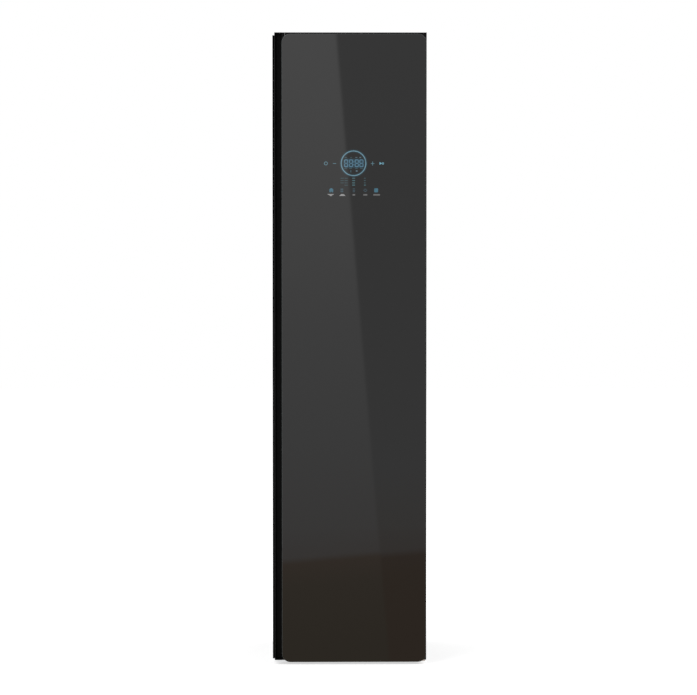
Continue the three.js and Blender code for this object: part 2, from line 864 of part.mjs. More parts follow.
function baseFrame() {
  const tray = block([-sideInner, sideInner], [innerFront, innerRear], [baseBottom, baseBottom + baseRail]);
  const hollow = block(
    [-sideInner + baseFloor, sideInner - baseFloor],
    [innerFront + baseFloor, innerRear - baseFloor],
    [baseFloorTop, baseBottom + baseRail + cutOverrun],
  );
  const bossTop = baseBottom + footBossHeight;
  const bosses = footPlaces.map(([, x, y]) => (
    rod("z", [x, y, 0], footStudRadius + footBossWall, baseBottom + baseFloor / 2, bossTop, smallSides)
  ));
  const bores = footPlaces.map(([, x, y]) => (
    rod("z", [x, y, 0], footStudRadius + seatGap, baseBottom - cutOverrun, baseBottom + baseRail, smallSides)
  ));
  return cut(join(cut(tray, hollow), ...bosses), ...bores);
}

// Levelling foot: a round pad with a domed edge, a six-sided nut and a stud up through the base
function foot(x, y) {
  const profile = [
    [0, 0],
    [footPadRadius - sheet, 0],
    [footPadRadius, sheet],
    [footPadRadius, footPadHeight / 2],
    [footPadRadius / 2, footPadHeight],
    [footStudRadius, footPadHeight],
    [footStudRadius, footStudTop],
    [0, footStudTop],
  ];
  const nutTop = footPadHeight + footNutHeight;
  return join(
    turned("z", [x, y, 0], profile, smallSides),
    rod("z", [x, y, 0], footNutRadius, footPadHeight - sheet, nutTop, nutSides),
  );
}

// Front frame: one moulding around the chamber's mouth and the tank bay's mouth, with a closed plinth below
function frontFrame() {
  const z0 = baseBottom;
  const whole = block([-flangeEdge, flangeEdge], [bodyFront, frameBack], [z0, frameTop]);
  const through = [bodyFront - cutOverrun, frameBack + cutOverrun];
  const mouth = (bottom, top) => prism(
    "y",
    roundedRectangle([-chamberSide, chamberSide], [bottom, top], mouthCorner),
    ...through,
  );
  const panel = roundedRectangle(
    [-chamberSide + plinthMargin, chamberSide - plinthMargin],
    [z0 + baseRail, deckTop - plinthMargin],
    mouthCorner,
  );
  return cut(
    whole,
    mouth(chamberFloorHeight, chamberTopHeight),
    mouth(bayFloor + mouldWall, bayTop - mouldWall),
    prism("y", panel, bodyFront - cutOverrun, bodyFront + plinthRecess),
  );
}

// Chamber liner: a moulded skin with ledges for the floor and the shelf and a hole for the drive shaft
function innerLiner() {
  const outer = block(
    [-linerOuter, linerOuter],
    [chamberFront, chamberBack + mouldWall],
    [linerBottom, linerTop],
  );
  const hollow = block(
    [-chamberSide, chamberSide],
    [chamberFront - cutOverrun, chamberBack],
    [linerBottom + mouldWall, chamberTopHeight],
  );
  const well = block(
    [-chamberSide + linerLedge, chamberSide - linerLedge],
    [chamberFront - cutOverrun, chamberBack - linerLedge],
    [linerBottom - cutOverrun, linerBottom + mouldWall + cutOverrun],
  );
  const ledge = (hand) => {
    const wallX = hand * (chamberSide + mouldWall / 2);
    const shape = polygon([
      [wallX, shelfHeight - shelfThickness - seatGap],
      [hand * (chamberSide - shelfLedgeWidth), shelfHeight - shelfThickness - seatGap],
      [hand * (chamberSide - shelfLedgeWidth), shelfHeight - shelfThickness - seatGap - shelfLedgeHeight / 2],
      [wallX, shelfHeight - shelfThickness - seatGap - 2 * shelfLedgeHeight],
    ]);
    return prism("y", shape, chamberFront + shelfLedgeFront, chamberBack - shelfLedgeRear);
  };
  const shaft = rod(
    "z",
    [0, rockerPivotY, 0],
    rockerShaftRadius + runGap,
    chamberTopHeight - cutOverrun,
    linerTop + cutOverrun,
  );
  return cut(join(cut(outer, hollow, well), ledge(-1), ledge(1)), shaft);
}

function insulation() {
  const bottom = linerBottom;
  const foamInner = linerOuter + seatGap;
  const depth = [innerFront, innerRear];
  const sideSlab = (from, to) => block([from, to], depth, [bottom, insulationTopTop]);
  const rear = block(
    [-linerOuter, linerOuter],
    [chamberBack + mouldWall + seatGap, innerRear],
    [bottom, linerTop],
  );
  const shaft = rod(
    "z",
    [0, rockerPivotY, 0],
    rockerShaftRadius + runGap,
    linerTop - cutOverrun,
    insulationTopTop + cutOverrun,
  );
  const top = cut(block([-linerOuter, linerOuter], depth, [linerTop + seatGap, insulationTopTop]), shaft);
  return {
    left: sideSlab(-sideInner, -foamInner),
    right: sideSlab(foamInner, sideInner),
    rear,
    top,
  };
}

// Hinge plates: a tongue with a round end about the pin, widening to a plate with countersunk screws
function hingePlateSolid(plateBottom, rearLength, pinFrom, pinTo) {
  const half = hingePlateWidth / 2;
  const left = hingeX - half;
  const right = side - hingeOuterInset;
  const shape = new THREE.Shape();
  shape.moveTo(left, hingeY);
  shape.absarc(hingeX, hingeY, half, Math.PI, 1.5 * Math.PI);
  shape.lineTo(right, hingeY - half);
  shape.lineTo(right, bodyFront + rearLength);
  shape.lineTo(right - hingeMountWidth, bodyFront + rearLength);
  shape.lineTo(right - hingeMountWidth, bodyFront + hingeRoom);
  shape.lineTo(left, bodyFront + hingeRoom);
  const plate = prism("z", shape, plateBottom, plateBottom + hingePlate);
  const pin = rod("z", [hingeX, hingeY, 0], hingePinRadius, pinFrom, pinTo);
  const rowY = bodyFront + (hingeRoom + rearLength) / 2;
  const sink = [
    [0, plateBottom + hingePlate / 2],
    [screwHeadRadius - screwHeadDepth, plateBottom + hingePlate / 2],
    [screwHeadRadius, plateBottom + hingePlate / 2 + screwHeadDepth],
    [screwHeadRadius, plateBottom + hingePlate + cutOverrun],
    [0, plateBottom + hingePlate + cutOverrun],
  ];
  const screwPlaces = spread(hingeScrewCount, hingeMountWidth / 4, right - hingeMountWidth / 2);
  const screws = screwPlaces.map((x) => turned("z", [x, rowY, 0], sink, smallSides));
  return cut(join(plate, pin), ...screws);
}

const topPlateBottom = bodyTop + seatGap;
const bottomPlateBottom = baseBottom - seatGap - hingePlate;

// Cap over the top hinge plate
function topHingeCover() {
  const right = side - sheet;
  const left = side - hingeOuterInset - hingeMountWidth - coverWall - seatGap;
  const front = bodyFront + coverWall + seatGap;
  const back = bodyFront + hingeMountLength + coverWall + seatGap;
  const outline = roundedRectangle([left, right], [front, back], hingeOuterInset);
  const shell = prism("z", outline, topPlateBottom, doorTop);
  const hollow = block(
    [left + coverWall, right - coverWall],
    [front - cutOverrun, back - coverWall],
    [topPlateBottom - cutOverrun, doorTop - coverWall],
  );
  return cut(shell, hollow);
}

add(cabinet, "side_panel_left", sidePanel(-1), "paint");
add(cabinet, "side_panel_right", sidePanel(1), "paint");
add(cabinet, "top_panel", topPanel(), "paint");
add(cabinet, "rear_cover", rearCover(), "zinc");
add(cabinet, "base_frame", baseFrame(), "zinc");
for (const [name, x, y] of footPlaces) add(cabinet, name, foot(x, y), "greyMould");
add(cabinet, "front_frame", frontFrame(), "paleMould");
add(cabinet, "inner_liner", innerLiner(), "paleMould");
const foam = insulation();
add(cabinet, "insulation_left", foam.left, "foam");
add(cabinet, "insulation_right", foam.right, "foam");
add(cabinet, "insulation_rear", foam.rear, "foam");
add(cabinet, "insulation_top", foam.top, "foam");
add(cabinet, "top_hinge_plate", hingePlateSolid(topPlateBottom, hingeMountLength,
  notchFloor - bushHeight, topPlateBottom + hingePlate / 2), "steel");
add(cabinet, "bottom_hinge_plate", hingePlateSolid(bottomPlateBottom, hingeBottomLength,
  bottomPlateBottom + hingePlate / 2, doorBottom + bushHeight), "steel");
add(cabinet, "top_hinge_cover", topHingeCover(), "darkMould");

// Chamber floor: a plate on the liner's ledge, with the filter's well, an outlet grille and the nozzle's hole
const ductMouth = [ductFrontY + ductWall, ductFrontY + ductWall + ductMouthDepth];
const blowerLeft = ductRight + seatGap;
const outletSpan = [blowerLeft + mouldWall, blowerLeft + blowerWidth - mouldWall];
const outletDepth = [
  blowerY - voluteEnd + mouldWall,
  blowerY + voluteStart * Math.cos(THREE.MathUtils.degToRad(voluteTongueDegrees)) - mouldWall,
];

function chamberFloor() {
  const reach = chamberSide - seatGap;
  const plate = block(
    [-reach, reach],
    [chamberFront, chamberBack - seatGap],
    [chamberFloorBottom, chamberFloorHeight],
  );
  const through = [chamberFloorBottom - cutOverrun, chamberFloorHeight + cutOverrun];
  const well = block(
    [filterCentreX - filterWidth / 2 - runGap, filterCentreX + filterWidth / 2 + runGap],
    [filterFrontY - runGap, filterFrontY + filterDepth + runGap],
    through,
  );
  const barPitch = (outletSpan[1] - outletSpan[0]) / outletBarCount;
  const slots = spread(outletBarCount, barPitch, (outletSpan[0] + outletSpan[1]) / 2).map((x) => (
    block([x - barPitch / 4, x + barPitch / 4], outletDepth, through)
  ));
  const stem = rod("z", [nozzleX, nozzleY, 0], nozzleStem + seatGap, ...through);
  const panelBack = nozzleY - nozzleCap - floorPanelMargin;
  const panel = prism(
    "z",
    roundedRectangle(
      [-reach + floorPanelMargin, reach - floorPanelMargin],
      [chamberFront + floorPanelMargin, panelBack],
      mouthCorner,
    ),
    chamberFloorBottom + floorPlate / 2,
    floorPanelTop,
  );
  return join(cut(plate, well, stem, ...slots), panel);
}

// Steam nozzle: a stem through the floor under a cap with six slits
function steamNozzle() {
  const profile = [
    [0, chamberFloorHeight - nozzleStemLength],
    [nozzleStem, chamberFloorHeight - nozzleStemLength],
    [nozzleStem, chamberFloorHeight + seatGap],
    [nozzleCap, chamberFloorHeight + seatGap],
    [nozzleCap, chamberFloorHeight + seatGap + nozzleCapHeight / 2],
    [nozzleCap - nozzleRim, chamberFloorHeight + nozzleCapHeight],
    [0, chamberFloorHeight + nozzleCapHeight],
  ];
  const body = turned("z", [nozzleX, nozzleY, 0], profile, smallSides);
  const slit = (turn) => {
    const geometry = new THREE.BoxGeometry(2 * nozzleCap + nozzleRim, nozzleRim / 2, nozzleCapHeight / 3);
    geometry.rotateZ(turn);
    geometry.translate(nozzleX, nozzleY, chamberFloorHeight + nozzleCapHeight / 2);
    return solidFrom(geometry);
  };
  const coreTop = chamberFloorHeight + nozzleCapHeight;
  const coreRadius = nozzleCap - nozzleRim;
  const core = rod("z", [nozzleX, nozzleY, 0], coreRadius, chamberFloorHeight, coreTop, smallSides);
  return join(cut(body, slit(0), slit(Math.PI / 3), slit(2 * Math.PI / 3)), core);
}

function lampLens() {
  const front = chamberFront + lampSetback;
  const outline = roundedRectangle([-lampWidth / 2, lampWidth / 2], [front, front + lampDepth], lampRound);
  const step = roundedRectangle(
    [-lampWidth / 2 + lampRound, lampWidth / 2 - lampRound],
    [front + lampRound, front + lampDepth - lampRound],
    lampRound,
  );
  return join(
    prism("z", outline, ceilingUnderside - lampThickness / 2, ceilingUnderside),
    prism("z", step, ceilingUnderside - lampThickness, ceilingUnderside - lampThickness / 4),
  );
}

// Shelf: a moulded rack with a raised rim, long slots and a rib across the middle
const shelfFront = chamberFront + shelfFrontSetback;
const shelfRear = chamberBack - shelfRearSetback;

function shelf() {
  const reach = chamberSide - shelfSideGap;
  const top = shelfHeight;
  const body = prism("z", roundedRectangle([-reach, reach], [shelfFront, shelfRear], mouthCorner),
    top - shelfThickness, top);
  const dish = prism(
    "z",
    roundedRectangle(
      [-reach + shelfRim, reach - shelfRim],
      [shelfFront + shelfRim, shelfRear - shelfRim],
      mouthCorner / 2,
    ),
    top - shelfThickness / 3,
    top + cutOverrun,
  );
  const pitch = (2 * (reach - shelfRim) - shelfSlotWidth) / shelfSlotCount;
  const middle = (shelfFront + shelfRear) / 2;
  const runs = [
    [shelfFront + shelfRim + shelfCrossRib, middle - shelfCrossRib / 2],
    [middle + shelfCrossRib / 2, shelfRear - shelfRim - shelfCrossRib],
  ];
  const slots = spread(shelfSlotCount, pitch).flatMap((x) => runs.map((run) => prism(
    "z",
    roundedRectangle([x - shelfSlotWidth / 2, x + shelfSlotWidth / 2], run, shelfSlotWidth / 2),
    top - shelfThickness - cutOverrun,
    top + cutOverrun,
    slotArcSteps,
  )));
  return cut(body, dish, ...slots);
}

// Hanger drive: a case open to the ceiling, with two slots for the posts of the bar
const housingTop = ceilingUnderside;
const housingBottom = housingTop - housingHeight;
const rodHeight = chamberTopHeight - rodBelowCeiling;
const postX = postPitch / 2;

function hangerHousing() {
  const outline = (inset) => roundedRectangle(
    [-housingWidth / 2 + inset, housingWidth / 2 - inset],
    [-housingFront + inset, housingRear - inset],
    housingCorner - inset,
  );
  const shell = prism("z", outline(0), housingBottom, housingTop);
  const hollow = prism("z", outline(mouldWall), housingBottom + mouldWall, housingTop + cutOverrun);
  const reach = hangerTravel + postRadius + runGap;
  const slots = [-postX, postX].map((x) => prism(
    "z",
    roundedRectangle(
      [x - reach, x + reach],
      [barCentreY - postRadius - runGap, barCentreY + postRadius + runGap],
      postRadius + runGap,
    ),
    housingBottom - cutOverrun,
    housingBottom + mouldWall + cutOverrun,
  ));
  return cut(shell, hollow, ...slots);
}

function guideRod(y) {
  const reach = housingWidth / 2 - mouldWall - seatGap;
  return rod("x", [0, y, rodHeight], rodRadius, -reach, reach, smallSides);
}

// Hanger bar: a notched bar on two posts under a carriage that rides on the guide rods
function hangerBar() {
  const carriageBottom = rodHeight - carriageHeight / 2;
  const carriageTop = rodHeight + carriageHeight / 2;
  const carriage = block(
    [-carriageWidth / 2, carriageWidth / 2],
    [carriageFrontY, carriageRearY],
    [carriageBottom, carriageTop],
  );
  const bores = [rodFrontY, rodRearY].map((y) => (
    rod("x", [0, y, rodHeight], rodRadius + seatGap, -carriageWidth, carriageWidth, smallSides)
  ));
  const pinY = rockerPivotY - rockerReach;
  const slotReach = rockerPinRadius + 2 * seatGap;
  const slot = block(
    [-slotReach, slotReach],
    [pinY - rockerSlotLength / 2, pinY + rockerSlotLength / 2],
    [carriageBottom - cutOverrun, carriageTop + cutOverrun],
  );
  const barTop = chamberTopHeight - barBelowCeiling;
  const bar = prism(
    "x",
    roundedRectangle(
      [barCentreY - barThickness / 2, barCentreY + barThickness / 2],
      [barTop - barHeight, barTop],
      barThickness / 3,
    ),
    -barLength / 2,
    barLength / 2,
  );
  const notchAxis = barTop + barNotchWidth / 2 - barNotchDepth;
  const notches = spread(barNotchCount, barNotchPitch).map((x) => (
    rod("y", [x, 0, notchAxis], barNotchWidth / 2, -cabinetDepth, cabinetDepth, smallSides)
  ));
  const posts = [-postX, postX].map((x) => (
    rod("z", [x, barCentreY, 0], postRadius, barTop - barHeight / 2, carriageBottom + seatGap, smallSides)
  ));
  return join(cut(bar, ...notches), cut(carriage, ...bores, slot), ...posts);
}

// Rocker: a lever on the motor's shaft whose pin stands in the carriage's slot
function hangerRocker() {
  const leverBottom = rodHeight + carriageHeight / 2 + seatGap;
  const leverTop = leverBottom + rockerThickness;
  const pinY = rockerPivotY - rockerReach;
  const lever = prism(
    "z",
    roundedRectangle(
      [-rockerWidth / 2, rockerWidth / 2],
      [pinY - rockerWidth / 2, rockerPivotY + rockerWidth / 2],
      rockerWidth / 2,
    ),
    leverBottom,
    leverTop,
  );
  const pin = rod("z", [0, pinY, 0], rockerPinRadius, rodHeight - carriageHeight / 2, leverTop - seatGap);
  const shaftTop = insulationTopTop + seatGap + hangerMotorBore - seatGap;
  const shaft = rod("z", [0, rockerPivotY, 0], rockerShaftRadius, leverTop - seatGap, shaftTop);
  return join(lever, pin, shaft);
}

// Hanger motor: a gear motor on a mounting plate, with a bore for the rocker's shaft
function hangerMotor() {
  const bottom = insulationTopTop + seatGap;
  const plate = prism(
    "z",
    roundedRectangle(
      [-hangerMotorPlateWidth / 2, hangerMotorPlateWidth / 2],
      [rockerPivotY - hangerMotorPlateDepth / 2, rockerPivotY + hangerMotorPlateDepth / 2],
      housingCorner,
    ),
    bottom,
    bottom + hangerMotorPlate,
  );
  const profile = [
    [0, bottom],
    [hangerMotorRadius, bottom],
    [hangerMotorRadius, bottom + hangerMotorHeight / 3],
    [hangerMotorRadius - rodRadius / 2, bottom + hangerMotorHeight / 3],
    [hangerMotorRadius - rodRadius / 2, bottom + hangerMotorHeight],
    [0, bottom + hangerMotorHeight],
  ];
  const bore = rod("z", [0, rockerPivotY, 0], rockerShaftRadius + seatGap, bottom - cutOverrun,
    bottom + hangerMotorBore);
  return cut(join(plate, turned("z", [0, rockerPivotY, 0], profile)), bore);
}

add(cabinet, "chamber_floor", chamberFloor(), "greyMould");
add(cabinet, "steam_nozzle", steamNozzle(), "darkMould");
add(cabinet, "lamp_lens", lampLens(), "clearMould");
add(cabinet, "shelf", shelf(), "greyMould");
add(cabinet, "hanger_housing", hangerHousing(), "greyMould");
add(cabinet, "guide_rod_front", guideRod(rodFrontY), "steel");
add(cabinet, "guide_rod_rear", guideRod(rodRearY), "steel");
add(cabinet, "hanger_bar", hangerBar(), "steel");
add(cabinet, "hanger_rocker", hangerRocker(), "zinc");
add(cabinet, "hanger_motor", hangerMotor(), "darkMould");

// Machine deck: a folded sheet on two legs, with a hole for the steam pipe
function machineDeck() {
  const depth = [innerFront + baseFloor + seatGap, innerRear - baseFloor - seatGap];
  const top = block([-deckLeg, deckLeg], [innerFront, depth[1]], [deckTop - deckPlate, deckTop]);
  const leg = (from) => block(
    [from, from + deckPlate],
    depth,
    [baseFloorTop + seatGap, deckTop - deckPlate / 2],
  );
  const pipes = [
    [nozzleX, nozzleY, steamPipeRadius],
    [suctionX, compressorY, suctionRadius],
  ];
  const holes = pipes.map(([x, y, radius]) => (
    rod("z", [x, y, 0], radius + runGap, deckTop - cutOverrun, deckTop + cutOverrun, smallSides)
  ));
  return cut(join(top, leg(-deckLeg), leg(deckLeg - deckPlate)), ...holes);
}

// Tank bay: a moulded box, open at the front, with a divider between the two tanks
const bayHalf = linerOuter;
const bayInner = chamberSide;

function tankBay() {
  const outer = block([-bayHalf, bayHalf], [innerFront, bayRear], [bayFloor, bayTop]);
  const inside = (from, to) => block(
    [from, to],
    [innerFront - cutOverrun, bayRear - mouldWall],
    [bayFloor + mouldWall, bayTop - mouldWall],
  );
  return cut(outer, inside(-bayInner, -bayDivider / 2), inside(bayDivider / 2, bayInner));
}

// Tank: a moulded can open at the top, with a hand recess in its front
const tankBottom = bayFloor + mouldWall + tankFloorGap;
const tankTop = tankBottom + tankHeight;
const tankFront = innerFront + tankFrontSetback;
const tankBack = bayRear - mouldWall - runGap;

function tankSpan(hand, inset) {
  const near = bayDivider / 2 + runGap + inset;
  const far = bayInner - runGap - inset;
  return hand < 0 ? [-far, -near] : [near, far];
}

function tankOutline(hand, inset) {
  return roundedRectangle(tankSpan(hand, inset), [tankFront + inset, tankBack - inset], tankCorner - inset);
}

function tank(hand) {
  const can = prism("z", tankOutline(hand, 0), tankBottom, tankTop);
  const hollow = prism("z", tankOutline(hand, tankWall), tankBottom + tankWall, tankTop + cutOverrun);
  const [left, right] = tankSpan(hand, 0);
  const middle = (left + right) / 2;
  const gripTop = tankTop - tankGripDepth;
  const recess = (wall) => block(
    [middle - tankGripWidth / 2 - wall, middle + tankGripWidth / 2 + wall],
    [tankFront + (wall ? wall / 2 : -cutOverrun), tankFront + tankGripDepth + wall],
    [gripTop - tankGripHeight - wall, gripTop + wall],
  );
  return cut(join(cut(can, hollow), recess(tankWall)), recess(0));
}

// Tank lid: a plate with a lip inside the can and a round filler cap
function tankCover(hand) {
  const seat = tankTop + seatGap;
  const lipInset = tankWall + seatGap;
  const plate = prism("z", tankOutline(hand, 0), seat, seat + tankLid / 2);
  const lip = prism("z", tankOutline(hand, lipInset), seat - tankLidLipDepth, seat + tankLid / 4);
  const hollow = prism(
    "z",
    tankOutline(hand, lipInset + tankLidLip),
    seat - tankLidLipDepth - cutOverrun,
    seat + tankLid / 8,
  );
  const [left, right] = tankSpan(hand, 0);
  const at = [(left + right) / 2, (tankFront + tankBack) / 2, 0];
  const cap = turned("z", at, [
    [0, seat + tankLid / 4],
    [capRadius, seat + tankLid / 4],
    [capRadius, seat + tankLid / 2 + capHeight / 2],
    [capRadius - sheet, seat + tankLid / 2 + capHeight],
    [0, seat + tankLid / 2 + capHeight],
  ]);
  return join(cut(join(plate, lip), hollow), cap);
}

// Lint filter: a slotted basket hung by its flange in the chamber floor, with a bridge to lift it by
function lintFilter() {
  const left = filterCentreX - filterWidth / 2;
  const right = filterCentreX + filterWidth / 2;
  const front = filterFrontY;
  const back = filterFrontY + filterDepth;
  const bottom = chamberFloorHeight - filterDrop;
  const flangeBottom = chamberFloorHeight + seatGap;
  const flangeTopZ = flangeBottom + filterFlangeHeight;
  const basket = block([left, right], [front, back], [bottom, flangeTopZ]);
  const flange = block(
    [left - filterFlange, right + filterFlange],
    [front - filterFlange, back + filterFlange],
    [flangeBottom, flangeTopZ],
  );
  const hollow = block(
    [left + filterWall, right - filterWall],
    [front + filterWall, back - filterWall],
    [bottom + filterWall, flangeTopZ + cutOverrun],
  );
  const pitch = (filterWidth - 2 * filterWall - filterBarWidth) / filterBarCount;
  const slots = spread(filterBarCount, pitch, filterCentreX).map((x) => block(
    [x - (pitch - filterBarWidth) / 2, x + (pitch - filterBarWidth) / 2],
    [front - cutOverrun, back + cutOverrun],
    [bottom + 2 * filterWall, chamberFloorHeight - floorPlate],
  ));
  const floorSlots = spread(filterBarCount, pitch, filterCentreX).map((x) => block(
    [x - (pitch - filterBarWidth) / 2, x + (pitch - filterBarWidth) / 2],
    [front + 2 * filterWall, back - 2 * filterWall],
    [bottom - cutOverrun, bottom + filterWall + cutOverrun],
  ));
  const archTop = flangeTopZ + filterHandleHeight;
  const arch = polygon([
    [front, flangeBottom],
    [front, archTop - filterHandleThickness],
    [front + filterHandleThickness, archTop],
    [back - filterHandleThickness, archTop],
    [back, archTop - filterHandleThickness],
    [back, flangeBottom],
    [back - filterWall, flangeBottom],
    [back - filterWall, archTop - filterHandleThickness],
    [front + filterWall, archTop - filterHandleThickness],
    [front + filterWall, flangeBottom],
  ]);
  const handleLeft = filterCentreX - filterHandleWidth / 2;
  const handle = prism("x", arch, handleLeft, handleLeft + filterHandleWidth);
  return join(cut(join(basket, flange), hollow, ...slots, ...floorSlots), handle);
}

add(cabinet, "machine_deck", machineDeck(), "zinc");
add(cabinet, "tank_bay", tankBay(), "greyMould");
add(cabinet, "water_tank", tank(-1), "clearMould");
add(cabinet, "water_tank_lid", tankCover(-1), "greyMould");
add(cabinet, "drain_tank", tank(1), "clearMould");
add(cabinet, "drain_tank_lid", tankCover(1), "greyMould");
add(cabinet, "lint_filter", lintFilter(), "greyMould");

// Steam boiler: a ribbed casting on feet with a bolted flange, its outlet under the steam pipe
const boilerY = innerFront + boilerFront;
const outletY = boilerY + boilerDepth - boilerRound;
const hoseInletY = boilerY + boilerDepth / 2;
const boilerBottom = baseFloorTop + seatGap;
const boilerTop = boilerBottom + boilerFoot + boilerHeight;

function steamBoiler() {
  const spanX = [boilerX, boilerX + boilerWidth];
  const spanY = [boilerY, boilerY + boilerDepth];
  const can = prism("z", roundedRectangle(spanX, spanY, boilerRound), boilerBottom + boilerFoot, boilerTop);
  const flangeX = [spanX[0] - boilerFlange, spanX[1] + boilerFlange];
  const flangeY = [spanY[0] - boilerFlange, spanY[1] + boilerFlange];
  const flangeZ = boilerTop - boilerHeight / 3;
  const flangeTopZ = flangeZ + boilerFlangeHeight;
  const flange = prism("z", roundedRectangle(flangeX, flangeY, boilerRound), flangeZ, flangeTopZ);
  const ribPlaces = spread(boilerRibCount, boilerWidth / boilerRibCount, boilerX + boilerWidth / 2);
  const ribs = ribPlaces.map((x) => block(
    [x - boilerRibWidth / 2, x + boilerRibWidth / 2],
    [spanY[0] - boilerRibDepth, spanY[1] + boilerRibDepth],
    [boilerBottom + boilerFoot, flangeZ + boilerFlangeHeight / 2],
  ));
  const footSpans = ([low, high]) => [
    [low + boilerRibWidth, low + boilerRibWidth + boilerRound],
    [high - boilerRibWidth - boilerRound, high - boilerRibWidth],
  ];
  const feet = footSpans(spanX).flatMap((footX) => footSpans(spanY).map((footY) => block(
    footX,
    footY,
    [boilerBottom, boilerBottom + boilerFoot + boilerRibDepth],
  )));
  const outlet = rod(
    "z",
    [nozzleX, outletY, 0],
    steamPipeRadius + sheet,
    boilerTop - boilerRibDepth,
    boilerTop + boilerFlangeHeight,
    smallSides,
  );
  return join(can, flange, outlet, ...ribs, ...feet);
}

// Steam pipe: from the boiler's outlet back behind the tank bay and up to the nozzle
function steamPipe() {
  const bend = 4 * steamPipeRadius;
  const start = boilerTop + boilerFlangeHeight + seatGap;
  const cross = start + 2 * bend;
  const end = chamberFloorHeight - nozzleStemLength - seatGap;
  return pipe([
    [nozzleX, outletY, start],
    [nozzleX, outletY, cross],
    [nozzleX, nozzleY, cross],
    [nozzleX, nozzleY, end],
  ], steamPipeRadius, bend, smallSides / 2);
}

// Pump: a motor and a wider head on a base, with a port at the front and one on top
function pump(x) {
  const axis = baseFloorTop + seatGap + pumpAxisHeight;
  const headFront = pumpFrontY;
  const body = turned("y", [x, headFront, axis], [
    [0, 0],
    [pumpHeadRadius, 0],
    [pumpHeadRadius, pumpHeadLength],
    [pumpRadius, pumpHeadLength],
    [pumpRadius, pumpLength],
    [0, pumpLength],
  ], 2 * smallSides);
  const base = block(
    [x - pumpRadius, x + pumpRadius],
    [headFront + pumpHeadLength / 3, headFront + pumpLength - pumpBase],
    [baseFloorTop + seatGap, axis - pumpRadius / 2],
  );
  const portFront = headFront - pumpPortLength;
  const front = rod("y", [x, 0, axis], pumpPortRadius, portFront, headFront + pumpBase, smallSides);
  const portTop = axis + pumpHeadRadius + pumpPortLength;
  const top = rod("z", [x, headFront + pumpHeadLength / 2, 0], pumpPortRadius, axis, portTop, smallSides);
  return join(body, base, front, top);
}

// Water hose: from the water pump's top port across to the boiler's side
function waterHose() {
  const portTop = baseFloorTop + seatGap + pumpAxisHeight + pumpHeadRadius + pumpPortLength + seatGap;
  const y = pumpFrontY + pumpHeadLength / 2;
  const level = portTop + hoseRise + hoseRadius;
  const boilerSide = boilerX + boilerWidth + seatGap;
  const inletZ = boilerTop - boilerRound;
  const bend = 3 * hoseRadius;
  return pipe([
    [waterPumpX, y, portTop],
    [waterPumpX, y, level],
    [waterPumpX, hoseInletY, level],
    [waterPumpX, hoseInletY, inletZ],
    [boilerSide, hoseInletY, inletZ],
  ], hoseRadius, bend, smallSides / 2);
}

// Compressor: a welded can with a domed top on a three-cornered plate and feet, its suction stub on top
const compressorBottom = baseFloorTop + seatGap + compressorMountHeight;
const compressorTop = compressorBottom + compressorFootPlate + compressorHeight;

function compressor() {
  const shellBottom = compressorBottom + compressorFootPlate - sheet;
  const dome = (share) => compressorRadius * Math.sqrt(1 - share * share);
  const domeShares = [0, 0.45, 0.8, 0.96];
  const profile = [
    [0, shellBottom],
    [compressorRadius - compressorFootPlate, shellBottom],
    [compressorRadius, shellBottom + compressorFootPlate],
    ...domeShares.map((share) => [dome(share), compressorTop - compressorDome * (1 - share)]),
    [0, compressorTop],
  ];
  const shell = turned("z", [compressorX, compressorY, 0], profile, wideSides);
  const corners = range(3).map((index) => {
    const turn = THREE.MathUtils.degToRad(90 + 120 * index);
    return [
      compressorX + compressorFootRadius * Math.cos(turn),
      compressorY + compressorFootRadius * Math.sin(turn),
    ];
  });
  const plate = prism("z", polygon(corners), compressorBottom, compressorBottom + compressorFootPlate);
  const mounts = corners.map(([x, y]) => {
    const inward = 1 - 2 * compressorMountRadius / compressorFootRadius;
    const at = [compressorX + (x - compressorX) * inward, compressorY + (y - compressorY) * inward, 0];
    return turned("z", at, [
      [0, baseFloorTop + seatGap],
      [compressorMountRadius, baseFloorTop + seatGap],
      [compressorMountRadius, compressorBottom - compressorMountHeight / 2],
      [compressorMountRadius / 2, compressorBottom],
      [compressorMountRadius / 2, compressorBottom + compressorMountHeight / 2],
      [0, compressorBottom + compressorMountHeight / 2],
    ], smallSides);
  });
  const stub = rod(
    "z",
    [suctionX, compressorY, 0],
    compressorStubRadius,
    compressorTop - 2 * compressorDome,
    compressorTop + compressorStubLength,
    smallSides,
  );
  return join(shell, plate, stub, ...mounts);
}

function suctionPipe() {
  const from = compressorTop + compressorStubLength + seatGap;
  return rod("z", [suctionX, compressorY, 0], suctionRadius, from, bayFloor - seatGap, smallSides);
}

// Air duct: a box with a mouth under the filter and a round way to the blower
function airDuct() {
  const outer = block([ductLeft, ductRight], [ductFrontY, ductRearY], [bayFloor, bayTop]);
  const hollow = block(
    [ductLeft + ductWall, ductRight - ductWall],
    [ductFrontY + ductWall, ductRearY - ductWall],
    [bayFloor + ductWall, bayTop - ductWall],
  );
  const reach = filterWidth / 2 + 2 * runGap;
  const mouth = block(
    [filterCentreX - reach, filterCentreX + reach],
    ductMouth,
    [bayTop - cutOverrun, bayTop + cutOverrun],
  );
  const way = rod(
    "x",
    [0, blowerY, blowerAxisHeight],
    inletRadius,
    ductRight - cutOverrun,
    ductRight + cutOverrun,
    wideSides,
  );
  return cut(outer, hollow, mouth, way);
}

